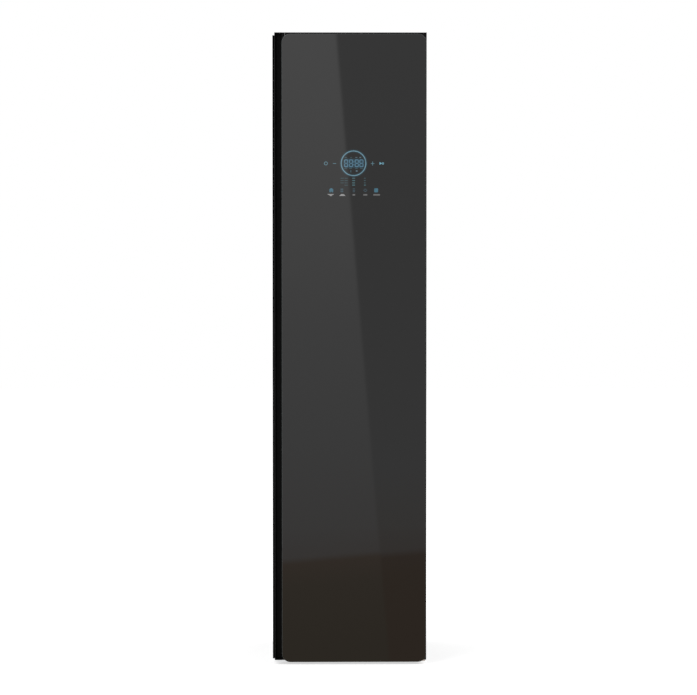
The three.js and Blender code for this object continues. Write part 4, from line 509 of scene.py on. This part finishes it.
# %% Foam and rubber
# Polyurethane foam, cut: cream, matt, with cells that show as pits 1.5 mm across.
cream_foam, tree, shader, place = new_finish("cream_polyurethane_foam", IOR=1.45, Roughness=0.9)
cell = add_node(tree, "TexVoronoi", {"Vector": place, "Scale": per_mm(1.8)}).outputs["Distance"]
cloud = add_node(tree, "TexNoise", {"Vector": place, "Scale": per_mm(60), "Detail": 5.0}).outputs["Fac"]
vary(tree, shader, colour=(cloud, "#cbbd92", "#ddd2ac"), relief_mm=(cell, 0.4))

# Soft PVC and EPDM: charcoal, matt, with a bloom of paler dust from the mould.
seal_rubber, tree, shader, place = new_finish("charcoal_soft_pvc", IOR=1.52, Roughness=0.6)
bloom = add_node(tree, "TexNoise", {"Vector": place, "Scale": per_mm(35), "Detail": 6.0}).outputs["Fac"]
vary(tree, shader, colour=(bloom, "#2a2b2d", "#3a3b3d"), Roughness=(bloom, 0.52, 0.7),
     relief_mm=(bloom, 0.05))

# %% Metals
# Steel that was turned and polished: bright, with the fine scratches of the belt along its length.
bright_steel, tree, shader, place = new_finish("polished_steel", Metallic=1.0, Roughness=0.22)
lay = add_node(tree, "Mapping", {"Vector": place, "Scale": (0.04, 1.0, 1.0)}).outputs[0]
scratch = add_node(tree, "TexNoise", {"Vector": lay, "Scale": per_mm(1.2), "Detail": 4.0}).outputs["Fac"]
vary(tree, shader, colour=(scratch, "#b9bbbd", "#cfd0d1"), Roughness=(scratch, 0.16, 0.32),
     relief_mm=(scratch, 0.01))

# Aluminium as it leaves the die: pale grey, dull, with a sandy skin.
cast_aluminium, tree, shader, place = new_finish("cast_aluminium", Metallic=1.0, Roughness=0.45)
sand = add_node(tree, "TexNoise", {"Vector": place, "Scale": per_mm(2.0), "Detail": 5.0}).outputs["Fac"]
vary(tree, shader, colour=(sand, "#a9abad", "#c2c4c6"), Roughness=(sand, 0.36, 0.55), relief_mm=(sand, 0.08))

# Drawn copper that has been handled: warm, with browner clouds where it has tarnished.
copper_tube, tree, shader, place = new_finish("drawn_copper", Metallic=1.0, Roughness=0.28)
tarnish = add_node(tree, "TexNoise", {"Vector": place, "Scale": per_mm(18), "Detail": 5.0}).outputs["Fac"]
vary(tree, shader, colour=(tarnish, "#8a4a2e", "#c9805c"), Roughness=(tarnish, 0.4, 0.22),
     relief_mm=(tarnish, 0.02))

# Stoving enamel on the compressor's can: black and glossy, with small runs.
black_enamel, tree, shader, place = new_finish("black_stoving_enamel", IOR=1.5, Roughness=0.16)
run = add_node(tree, "TexNoise", {"Vector": place, "Scale": per_mm(14), "Detail": 2.0}).outputs["Fac"]
vary(tree, shader, colour=(run, "#0b0b0c", "#131315"), relief_mm=(run, 0.08))

# %% Put the finishes on the CAD nodes
finish_of_slot = {
    "black_paint": black_paint, "zinc_sheet": zinc_sheet, "black_glass": black_glass,
    "black_mould": black_mould, "white_liner": white_liner, "grey_mould": grey_mould,
    "clear_mould": clear_mould, "foam": cream_foam, "seal_rubber": seal_rubber,
    "bright_steel": bright_steel, "cast_aluminium": cast_aluminium, "copper_tube": copper_tube,
    "black_enamel": black_enamel,
}
for part in frame["record"]["subparts"]:
    node = frame["nodes"][part["node"]]
    node.data.materials.clear()
    node.data.materials.append(finish_of_slot[part["material_slot"]])

# %% [markdown]
# ## The glass pane
# The pane is 4 mm toughened glass. Its outline is a rectangle with rounded corners, and its edge is ground
# to a small flat on each side, which catches the light as a thin pale line. We loft it through four
# outlines: back face, end of the back flat, end of the front flat, front face.

# %% Rounded rectangles that stand upright
CORNER_STEPS = 10
LEAST_RADIUS = 0.2 * MM


def upright_ring(width, height, radius, centre_x, centre_z, y):
    """A rounded rectangle standing in the plane y: outline u goes to x, outline v goes to z."""
    outline = rounded_outline(width, height, radius, CORNER_STEPS)
    return np.stack([outline[:, 0] + centre_x, np.full(len(outline), y), outline[:, 1] + centre_z], axis=-1)


def loft_upright(low, high, radius, steps_in):
    """Rings of one rounded rectangle: each step is (how far its outline lies inside the box, its y)."""
    width, height = high.x - low.x, high.z - low.z
    middle_x, middle_z = (low.x + high.x) / 2, (low.z + high.z) / 2
    return np.stack([
        upright_ring(width - 2 * inset, height - 2 * inset, max(radius - inset, LEAST_RADIUS),
                     middle_x, middle_z, y)
        for inset, y in steps_in
    ])


# %% Loft the pane
GLASS_CORNER, GROUND_FLAT = 24.5 * MM, 0.7 * MM
INLAY_THICKNESS = 0.1 * MM
low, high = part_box("door_glass")
pane_front = low.y + INLAY_THICKNESS
pane_grid = loft_upright(low, high, GLASS_CORNER, [
    (GROUND_FLAT, high.y), (0, high.y - GROUND_FLAT),
    (0, pane_front + GROUND_FLAT), (GROUND_FLAT, pane_front)])
pane = grid_object("door_glass_pane", pane_grid, "door", black_glass, sharp_degrees=20)
pane.data.materials.append(ground_edge)
depths = np.array([polygon.center.y for polygon in pane.data.polygons])
on_edge = ~np.isclose(depths, high.y, atol=1e-5) & ~np.isclose(depths, pane_front, atol=1e-5)
pane.data.polygons.foreach_set("material_index", on_edge.astype(np.int32))
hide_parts("door_glass")

# %% [markdown]
# ## The display
# Light-emitting diodes shine through small windows in the black paint on the back of the glass. Only the
# windows are seen, so each is a flat inlay a tenth of a millimetre thick on the face of the pane: a ring
# round four digits, key signs beside it, faint marks below, and a row of programme keys with plain patches
# for names. Their places come from the photograph, in millimetres from the ring's centre.

# %% Lights behind the glass
UNEVENNESS = 0.3


def window_finish(name, colour, strength):
    """A lit window in black glass: the pane's own gloss over a cool light that is a little uneven."""
    material, tree, shader, place = new_finish(
        name, Base_Color=linear("#000000"), Roughness=0.02, IOR=1.48, Emission_Color=linear(colour))
    patch = add_node(tree, "TexNoise", {"Vector": place, "Scale": per_mm(9), "Detail": 2.0}).outputs["Fac"]
    vary(tree, shader, Emission_Strength=(
        patch, (1 - UNEVENNESS) * strength, (1 + UNEVENNESS) * strength))
    return material


ring_light = window_finish("ring_led_window", "#86bcd2", 0.48)
sign_light = window_finish("sign_led_window", "#7db4c6", 0.36)
digit_light = window_finish("digit_led_window", "#6aa2c0", 0.52)
start_light = window_finish("start_led_window", "#82c6dc", 0.66)
small_light = window_finish("small_led_window", "#7ea4b4", 0.4)
faint_light = window_finish("faint_led_window", "#5f97a6", 0.28)
level_light = window_finish("level_led_window", "#5f959f", 0.4)
low_level_light = window_finish("low_level_led_window", "#5c8f9c", 0.25)
key_light = window_finish("key_led_window", "#5aa4c0", 0.34)
dim_light = window_finish("dim_led_window", "#618ca0", 0.27)
glow_light = window_finish("diffuser_glow", "#3f8fae", 0.12)
halo_light = window_finish("ring_halo_glow", "#4a96b0", 0.06)
label_ink = window_finish("pale_label_print", "#cfcfcf", 0.42)
dim_ink = window_finish("dim_label_print", "#cfcfcf", 0.2)

# %% Thin inlays on the pane
DISPLAY_X, DISPLAY_Z = 0.0115, 1.4690
INLAY_BACK, INLAY_FRONT = pane_front, low.y
FULL_TURN = np.linspace(0, 360, 72, endpoint=False)


def slab(outline, front):
    """An outline (mm from the ring's centre) on the pane, and the same again in the plane y = front."""
    flat = np.asarray(outline, float) * MM + (DISPLAY_X, DISPLAY_Z)
    return np.stack([
        np.stack([flat[:, 0], np.full(len(flat), y), flat[:, 1]], axis=-1) for y in (INLAY_BACK, front)])


def band(x, z, inner, outer, turn, front=INLAY_FRONT):
    """A flat band: its section, between two radii and two y, carried round the angles of turn (degrees)."""
    angle = np.radians(turn)[:, None]
    radius, y = np.array([(inner, INLAY_BACK), (outer, INLAY_BACK), (outer, front), (inner, front)]).T
    return np.stack([
        DISPLAY_X + (x + radius * np.cos(angle)) * MM, np.tile(y, (len(turn), 1)),
        DISPLAY_Z + (z + radius * np.sin(angle)) * MM], axis=-1)


def inlay(name, shapes, material, front=INLAY_FRONT, wrap_rows=False):
    """Thin pieces on the pane in one mesh: an outline becomes a slab, and a band stays as it is."""
    grids = [shape if np.ndim(shape) == 3 else slab(shape, front) for shape in shapes]
    piece = grid_object(name, grids, "door", material, wrap_rows, smooth=False)


# %% Outlines of the marks
def disc(x, z, radius, sides):
    """A regular polygon: points on a circle."""
    turn = np.linspace(0, 2 * np.pi, sides, endpoint=False)
    return np.stack([x + radius * np.cos(turn), z + radius * np.sin(turn)], axis=-1)


def bar(x, z, width, height):
    """An upright rectangle about (x, z)."""
    return np.array([(x - width / 2, z - height / 2), (x + width / 2, z - height / 2),
                     (x + width / 2, z + height / 2), (x - width / 2, z + height / 2)])


def segments(x, z, width, height, line):
    """The seven strokes of a digit eight: six-sided bars, each cut short so that it keeps off the next."""
    level_cut, upright_cut = 0.55 * line, 0.45 * line
    shapes = []
    for level in (-1, 0, 1):
        reach, thick = width / 2 - level_cut, line / 2
        flat = np.array([(-reach, 0), (-reach + thick, -thick), (reach - thick, -thick),
                         (reach, 0), (reach - thick, thick), (-reach + thick, thick)])
        shapes.append(flat + (x, z + level * (height / 2 - thick)))
    for side in (-1, 1):
        for half in (-1, 1):
            reach, thick = height / 4 - upright_cut, line / 2
            flat = np.array([(0, -reach), (thick, -reach + thick), (thick, reach - thick),
                             (0, reach), (-thick, reach - thick), (-thick, -reach + thick)])
            shapes.append(flat + (x + side * (width / 2 - thick), z + half * height / 4))
    return shapes


# %% Ring and its halo
# The light bleeds a little round the ring and behind the digits: thinner inlays, under the others.
RING_RADIUS, RING_LINE, HALO_LINE = 35.9, 2.8, 9.2
GLOW_WIDTH, GLOW_HEIGHT, GLOW_CORNER, GLOW_X = 60, 27, 8, 0.6
GLOW_FRONT = INLAY_BACK - INLAY_THICKNESS / 2
for name, line, light, front in (("display_ring", RING_LINE, ring_light, INLAY_FRONT),
                                 ("display_ring_halo", HALO_LINE, halo_light, GLOW_FRONT)):
    inlay(name, [band(0, 0, RING_RADIUS - line / 2, RING_RADIUS + line / 2, FULL_TURN, front)],
          light, wrap_rows=True)
inlay("display_digit_glow", [rounded_outline(GLOW_WIDTH, GLOW_HEIGHT, GLOW_CORNER, 6) + (GLOW_X, 0)],
      glow_light, GLOW_FRONT)

# %% Digits
DIGIT_WIDTH, DIGIT_HEIGHT, DIGIT_LINE = 11.4, 21.8, 2.2
digits = []
for x in (-21.6, -7.2, 9.4, 23.0):
    digits += segments(x, 0, DIGIT_WIDTH, DIGIT_HEIGHT, DIGIT_LINE)
digits += [disc(1.0, z, 1.3, 12) for z in (-4.2, 4.2)]
inlay("display_digits", digits, digit_light)
inlay("display_small_marks", [
    bar(8.2, 17.0, 6.0, 1.6), bar(19.8, 17.2, 5, 2.8), bar(9.2, -22.4, 5.0, 3.6)], small_light)
faint_marks = [bar(-22.4, 17.0, 6.4, 1.7), bar(-7, 17.0, 5.0, 1.4), bar(-7.8, -23.4, 2.6, 6.4)]
faint_marks += [bar(x, -15.2, 8.0, 1.5) for x in (-22.6, -8.6, 8.2, 23.4)]
inlay("display_faint_marks", faint_marks, faint_light)

# %% Key signs beside the ring
inlay("display_power_sign", [band(-80.7, -0.4, 3.4, 5.6, FULL_TURN[::3])], sign_light, wrap_rows=True)
PLUS_WIDE, PLUS_TALL, PLUS_LINE = 5.1, 5.85, 0.95
arm = np.array([(PLUS_WIDE, PLUS_LINE), (PLUS_LINE, PLUS_LINE), (PLUS_LINE, PLUS_TALL)])
plus_sign = np.concatenate([arm, (arm * (-1, 1))[::-1], -arm, (arm * (1, -1))[::-1]])
inlay("display_key_signs", [bar(-55.4, -0.6, 9.4, 1.9), plus_sign + (55.7, -0.6)], sign_light)
inlay("display_start_sign", [
    np.array([(75.8, -4.2), (83.8, -0.4), (75.8, 3.8)]),
    bar(84.9, -0.4, 1.5, 6.8), bar(87.6, -0.4, 1.5, 6.8)], start_light)

# %% Level marks below the ring
low_marks = [bar(x, z, 9.4, 1.7) for x in (-33.3, -21.6) for z in (-43.6, -50.6, -57.2)]
low_marks += [bar(-21.6, -63.8, 9.4, 1.7)] + [bar(33.0, z, 5.0, 2.2) for z in (-43.6, -50.4, -57.2)]
inlay("display_low_level_marks", low_marks, low_level_light)
level_marks = [bar(0.2, z, 8.2, 2.8) for z in (-43.6, -50.4, -57.2, -63.6)] + [bar(33.0, -63.6, 5.0, 2.8)]
inlay("display_level_marks", level_marks, level_light)

# %% Programme keys and their names
KEY_ROW, LABEL_ROW = -78.8, -92.0
ROOF_RADIUS, ROOF_FOOT = 5.8, 0.4
roof = np.radians(np.linspace(0, 180, 13))
house_sign = np.concatenate([
    np.stack([ROOF_RADIUS * np.cos(roof), ROOF_FOOT + ROOF_RADIUS * np.sin(roof)], axis=-1),
    [(-5.3, -5.8), (-1.6, -5.8), (-1.6, -4.0), (1.6, -4.0), (1.6, -5.8), (5.3, -5.8)]])
inlay("display_keys_lit", [
    house_sign + (-64.9, KEY_ROW), rounded_outline(11.6, 12.0, 2.4, 5) + (66.0, KEY_ROW)], key_light)
dim_keys = [bar(x, z + KEY_ROW, 3.2, 4.6) for x in (-36.2, -31.8) for z in (-3, 3)]
dim_keys += [bar(0.8, z + KEY_ROW, 6.4, 2.0) for z in (-4.2, 0, 4.2)]
dim_keys += [band(34.3, KEY_ROW + 1.6, 3.8, 5.4, np.linspace(180, 360, 17)),
             bar(34.3, KEY_ROW + 3.2, 7.0, 1.6)]
inlay("display_keys_dim", dim_keys, dim_light)
inlay("display_names_lit", [
    np.array([(-77, 2.4), (-70, -1.6), (-68.7, -1.6), (-68.7, -3.6),
              (-63.7, -3.6), (-63.7, -1.6), (-63, -1.6), (-56, 2.4)]) + (0, LABEL_ROW),
    np.array([(-42, -3.2), (-23.6, -3.2), (-28, 2.2), (-36, 2.2)]) + (0, LABEL_ROW)], label_ink)
inlay("display_names_dim", [
    bar(x, LABEL_ROW, width, 4.2) for x, width in ((0.9, 7.6), (34.4, 11.6), (67.6, 19.4))], dim_ink)

# %% [markdown]
# ## The door seal
# A refrigerator-type seal is one extruded profile of soft PVC, welded at the corners: a foot that snaps into
# the door, a bellows that lets it breathe, and a pocket for the magnet. The profile is a closed loop of
# points (how far in from the seal's outer edge, how far from the door). Each point becomes one rounded
# rectangle round the door, and the rings are joined into a closed tube.

# %% Sweep the seal's profile round the door
SEAL_CORNER = 14 * MM
SEAL_WIDTH = 12.0
low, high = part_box("door_gasket")
seal_depth = (high.y - low.y) / MM
seal_half = np.array([
    (6.0, 0.0), (11.4, 0.0), (12.0, 0.5), (11.6, 1.1), (8.4, 1.6), (7.8, 2.1), (9.8, 2.9), (10.4, 3.4),
    (9.8, 3.9), (8.6, 4.3), (8.8, 4.7), (10.8, 5.0), (11.3, 5.6), (11.2, 6.5), (10.4, 7.2), (8.4, seal_depth),
])
other_half = (seal_half[1:] * (-1, 1) + (SEAL_WIDTH, 0))[::-1]
seal_loop = np.concatenate([seal_half, [(SEAL_WIDTH / 2, seal_depth)], other_half]) * MM
seal_grid = loft_upright(low, high, SEAL_CORNER, [(inset, low.y + proud) for inset, proud in seal_loop])
seal = grid_object("door_seal_bellows", seal_grid, "door", seal_rubber, wrap_rows=True, sharp_degrees=50)
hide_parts("door_gasket")

# %% [markdown]
# ## The two water tanks
# A tank is injection moulded in one clear shell, so it tapers downwards to leave its mould, every edge is
# rounded, and a dished hand grip is pushed into its front. The shell is a function of two parameters: one
# runs round the can, the other runs from under its foot up the outside, over the rim and down the inside.
# The grip is a smooth bump added to y, the same on both faces, so the wall keeps its thickness.

# %% Even steps round the can
TANK_COLUMNS = 132


def even_outline(width, height, radius):
    """A rounded rectangle sampled at even steps of its length, so that flat sides can be pushed in too."""
    outline = rounded_outline(width, height, radius)
    closed = np.concatenate([outline, outline[:1]])
    length = np.concatenate([[0], np.cumsum(np.linalg.norm(np.diff(closed, axis=0), axis=1))])
    at = np.linspace(0, length[-1], TANK_COLUMNS, endpoint=False)
    return np.stack([np.interp(at, length, closed[:, axis]) for axis in (0, 1)], axis=-1)


def smooth_step(value):
    """0 below zero, 1 above one, and 3 v squared less 2 v cubed between."""
    v = np.clip(value, 0, 1)
    return v * v * (3 - 2 * v)


# %% The can's section
TANK_CORNER, TANK_WALL, TANK_TAPER = 14 * MM, 2.4 * MM, 2.6 * MM
FOOT_ROUND, RIM_ROUND, LEAST_CORNER = 7 * MM, 0.6 * MM, 3 * MM


def tank_section(low, high):
    """Steps of (inset, z): round the foot, up the tapered outside, over the rim, and back down inside."""
    quarter = np.linspace(0, np.pi / 2, 6)
    outside = [(FOOT_ROUND * (1 - math.sin(a)) + TANK_TAPER, low.z + FOOT_ROUND * (1 - math.cos(a)))
               for a in quarter]
    climb = np.linspace(low.z + FOOT_ROUND, high.z - RIM_ROUND, 26)[1:]
    outside += zip(TANK_TAPER * (high.z - climb) / (high.z - low.z - FOOT_ROUND), climb)
    rim = [(RIM_ROUND, high.z), (TANK_WALL - RIM_ROUND, high.z)]
    return outside + rim + [(inset + TANK_WALL, max(z, low.z + TANK_WALL)) for inset, z in outside[::-1]]


# %% Both cans, with the grip pushed in
GRIP_WIDTH, GRIP_HEIGHT, GRIP_DEPTH, GRIP_DROP = 96 * MM, 36 * MM, 13 * MM, 34 * MM
GRIP_FADE, FRONT_BAND = 9 * MM, 3 * MM


def tank_shell(low, high):
    """Rings at the section's steps; y grows by the grip's depth times smooth steps in x, y and z."""
    rings = []
    for inset, z in tank_section(low, high):
        ring = even_outline(high.x - low.x - 2 * inset, high.y - low.y - 2 * inset,
                            max(TANK_CORNER - inset, LEAST_CORNER))
        x, y = ring[:, 0], ring[:, 1]
        front = smooth_step((-y - (high.y - low.y) / 2 + inset + FRONT_BAND) / FRONT_BAND)
        wide = smooth_step((GRIP_WIDTH / 2 - np.abs(x)) / GRIP_FADE)
        tall = smooth_step((GRIP_HEIGHT / 2 - abs(z - (high.z - GRIP_DROP))) / GRIP_FADE)
        y = y + GRIP_DEPTH * front * wide * tall + (low.y + high.y) / 2
        rings.append(np.stack([x + (low.x + high.x) / 2, y, np.full(TANK_COLUMNS, z)], axis=-1))
    return np.stack(rings)


TANKS = ("water_tank", "drain_tank")
for node in TANKS:
    can = grid_object(node + "_can", tank_shell(*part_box(node)), node, clear_mould, sharp_degrees=60)
    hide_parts(node)

# %% [markdown]
# Raised lines on each tank's front show how full it is: a long line at the top level, short ones below. A
# line is a small half-round rib, so each is a grid of rings along x, with its ends drawn in to round them.

# %% Level lines
LINE_RISE, LINE_SINK, LINE_HALF_HEIGHT = 0.5 * MM, 0.3 * MM, 0.8 * MM
LINE_COUNT, TOP_LINE_DROP, LOW_LINE_RISE = 5, 64 * MM, 32 * MM
LONG_LINE, SHORT_LINE, SHORT_SHIFT = 62 * MM, 18 * MM, 22 * MM
LINE_STEPS, LINE_SIDES = 9, 8


def level_line(centre_x, front, z, length):
    """Rings along x: an ellipse that shrinks at both ends by the root of 1 less u to the power 8."""
    u = np.linspace(-0.98, 0.98, LINE_STEPS)
    size = np.sqrt(1 - u ** 8)
    turn = np.linspace(0, 2 * np.pi, LINE_SIDES, endpoint=False)
    x = centre_x + np.repeat(u[:, None], LINE_SIDES, axis=1) * length / 2
    y = front + LINE_SINK - np.outer(size, (1 + np.cos(turn)) / 2) * (LINE_RISE + LINE_SINK)
    return np.stack([x, y, z + np.outer(size, np.sin(turn)) * LINE_HALF_HEIGHT], axis=-1)


for node in TANKS:
    low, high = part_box(node)
    centre = (low.x + high.x) / 2
    lines = []
    for z in np.linspace(high.z - TOP_LINE_DROP, low.z + LOW_LINE_RISE, LINE_COUNT):
        front = low.y + TANK_TAPER * (high.z - z) / (high.z - low.z - FOOT_ROUND)
        middle, length = (centre - SHORT_SHIFT, SHORT_LINE) if lines else (centre, LONG_LINE)
        lines.append(level_line(middle, front, z, length))
    level_lines = grid_object(node + "_level_lines", lines, node, white_liner, sharp_degrees=60)

# %% [markdown]
# ## The moulded inner skin
# The chamber's lining is drawn from one sheet, so nothing in it is sharp: the rear corners and the edge under
# the ceiling are coves, and shallow ribs stiffen the rear wall. The skin is a function of two parameters: one
# runs along the U of left wall, rear wall and right wall and back behind it, the other runs up. The ribs are
# cosine bumps across the rear wall that fade out towards the floor and the ceiling, and the cove under the
# ceiling draws the U inwards by a quarter circle.

# %% The lining's U
LINER_WALL, SKIN, SKIN_SINK = 2.5 * MM, 1.2 * MM, 0.6 * MM
FRONT_GAP, CEILING_GAP, SKIN_FOOT = 0.3 * MM, 0.1 * MM, 557.7 * MM
SIDE_STEPS, ARC_STEPS, REAR_STEPS = 4, 9, 180
low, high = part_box("inner_liner")
wall_x, wall_y = high.x - LINER_WALL, high.y - LINER_WALL
skin_front, skin_top = low.y + FRONT_GAP, high.z - LINER_WALL - CEILING_GAP


def lining_path(half, back, radius):
    """A U seen from above: along the left side, a quarter circle and the rear, and the same mirrored."""
    arc = np.linspace(0, np.pi / 2, ARC_STEPS)
    left_y = np.linspace(skin_front, back - radius, SIDE_STEPS + 1)[:-1]
    left = np.stack([np.full(SIDE_STEPS, -half), left_y], axis=-1)
    bend = np.stack([-half + radius * (1 - np.cos(arc)), back - radius * (1 - np.sin(arc))], axis=-1)
    rear_x = np.linspace(-half + radius, half - radius, REAR_STEPS)[1:-1]
    rear = np.stack([rear_x, np.full(REAR_STEPS - 2, back)], axis=-1)
    flip = (-1, 1)
    return np.concatenate([left, bend, rear, bend[::-1] * flip, left[::-1] * flip])


# %% The rear wall's ribs
RIB_COUNT, RIB_PITCH, RIB_HALF, RIB_RISE, RIB_FADE = 5, 56 * MM, 9 * MM, 2.4 * MM, 70 * MM


def ribs_at(x, z):
    """Cosine bumps at an even pitch across x, times a fade near the two ends of z."""
    middles = (np.arange(RIB_COUNT) - (RIB_COUNT - 1) / 2) * RIB_PITCH
    across = np.abs(x[:, None] - middles).min(axis=1) / RIB_HALF
    from_ends = min(z - SKIN_FOOT, skin_top - z)
    fade = smooth_step((from_ends - RIB_FADE) / RIB_FADE)
    return RIB_RISE * fade * np.where(across < 1, (1 + np.cos(np.pi * across)) / 2, 0)


# %% Raise the skin from floor to ceiling
REAR_CORNER, OUTER_CORNER, CEILING_COVE = 26 * MM, 3 * MM, 17 * MM
REAR_BAND = 0.1 * MM
rib_foot, rib_top, cove_foot = SKIN_FOOT + 2 * RIB_FADE, skin_top - 2 * RIB_FADE, skin_top - CEILING_COVE
straight = np.concatenate([
    np.linspace(SKIN_FOOT, rib_foot, 13)[:-1], np.linspace(rib_foot, rib_top, 4),
    np.linspace(rib_top, cove_foot, 13)[1:]])
cove = np.linspace(0, np.pi / 2, 8)[1:]
levels = [(z, 0.0) for z in straight]
levels += [(skin_top - CEILING_COVE * (1 - math.sin(a)), CEILING_COVE * (1 - math.cos(a))) for a in cove]
outer_path = lining_path(wall_x + SKIN_SINK, wall_y + SKIN_SINK, OUTER_CORNER)
skin_rows = []
for z, drawn in levels:
    inset = SKIN + drawn
    inner = lining_path(wall_x - inset, wall_y - inset, REAR_CORNER - drawn)
    on_rear = inner[:, 1] > wall_y - inset - REAR_BAND
    inner[:, 1] -= np.where(on_rear, ribs_at(inner[:, 0], z), 0)
    loop = np.concatenate([outer_path, inner[::-1]])
    skin_rows.append(np.concatenate([loop, np.full((len(loop), 1), z)], axis=1))
skin = grid_object("chamber_skin", np.stack(skin_rows), "cabinet", white_liner, sharp_degrees=45)

# %% [markdown]
# ## Screws in the rear cover
# Flanged button-head screws, blackened, hold the rear cover round its rim. A head is turned, so it is a
# profile carried round a circle, and the socket is a hexagon: there the radius is the flat's distance over
# the cosine of the angle from the nearest flat. All heads are one mesh.

# %% Turn one screw head
SCREW_COLUMNS = 24
REAR_FACE = 0.2895
screw_turn = np.linspace(0, 2 * np.pi, SCREW_COLUMNS, endpoint=False)
hexagon = 1 / np.cos((screw_turn + np.pi / 6) % (np.pi / 3) - np.pi / 6)
turned_profile = ((5.0, -0.3), (5.0, 0.6), (4.7, 0.8), (3.7, 0.9), (3.3, 1.5), (2.6, 2.1))
socket_profile = ((1.6, 2.3), (1.45, 2.1), (1.4, 0.9))


def screw_head(x, z):
    """Rings of (radius, height) in mm: from the flange over the button, then down the hexagon socket."""
    rings = []
    for profile, shape in ((turned_profile, 1.0), (socket_profile, hexagon)):
        for radius, height in profile:
            reach = radius * MM * shape
            rings.append(np.stack([
                x + reach * np.cos(screw_turn), np.full(SCREW_COLUMNS, REAR_FACE + height * MM),
                z + reach * np.sin(screw_turn)], axis=-1))
    return np.stack(rings)


# %% Screws round the rim
RIM_INSET, SIDE_INSET, SIDE_SCREWS, END_SCREW_X = 7.5 * MM, 14 * MM, 7, 0.1
low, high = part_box("rear_cover")
side_heights = np.linspace(low.z + SIDE_INSET, high.z - SIDE_INSET, SIDE_SCREWS)
heads = [screw_head(side * (high.x - RIM_INSET), z) for side in (-1, 1) for z in side_heights]
heads += [screw_head(x, z) for x in (-END_SCREW_X, END_SCREW_X)
          for z in (low.z + RIM_INSET, high.z - RIM_INSET)]
screws = grid_object("rear_cover_screws", heads, "cabinet", black_enamel)
print("screws in the rear cover:", len(heads))
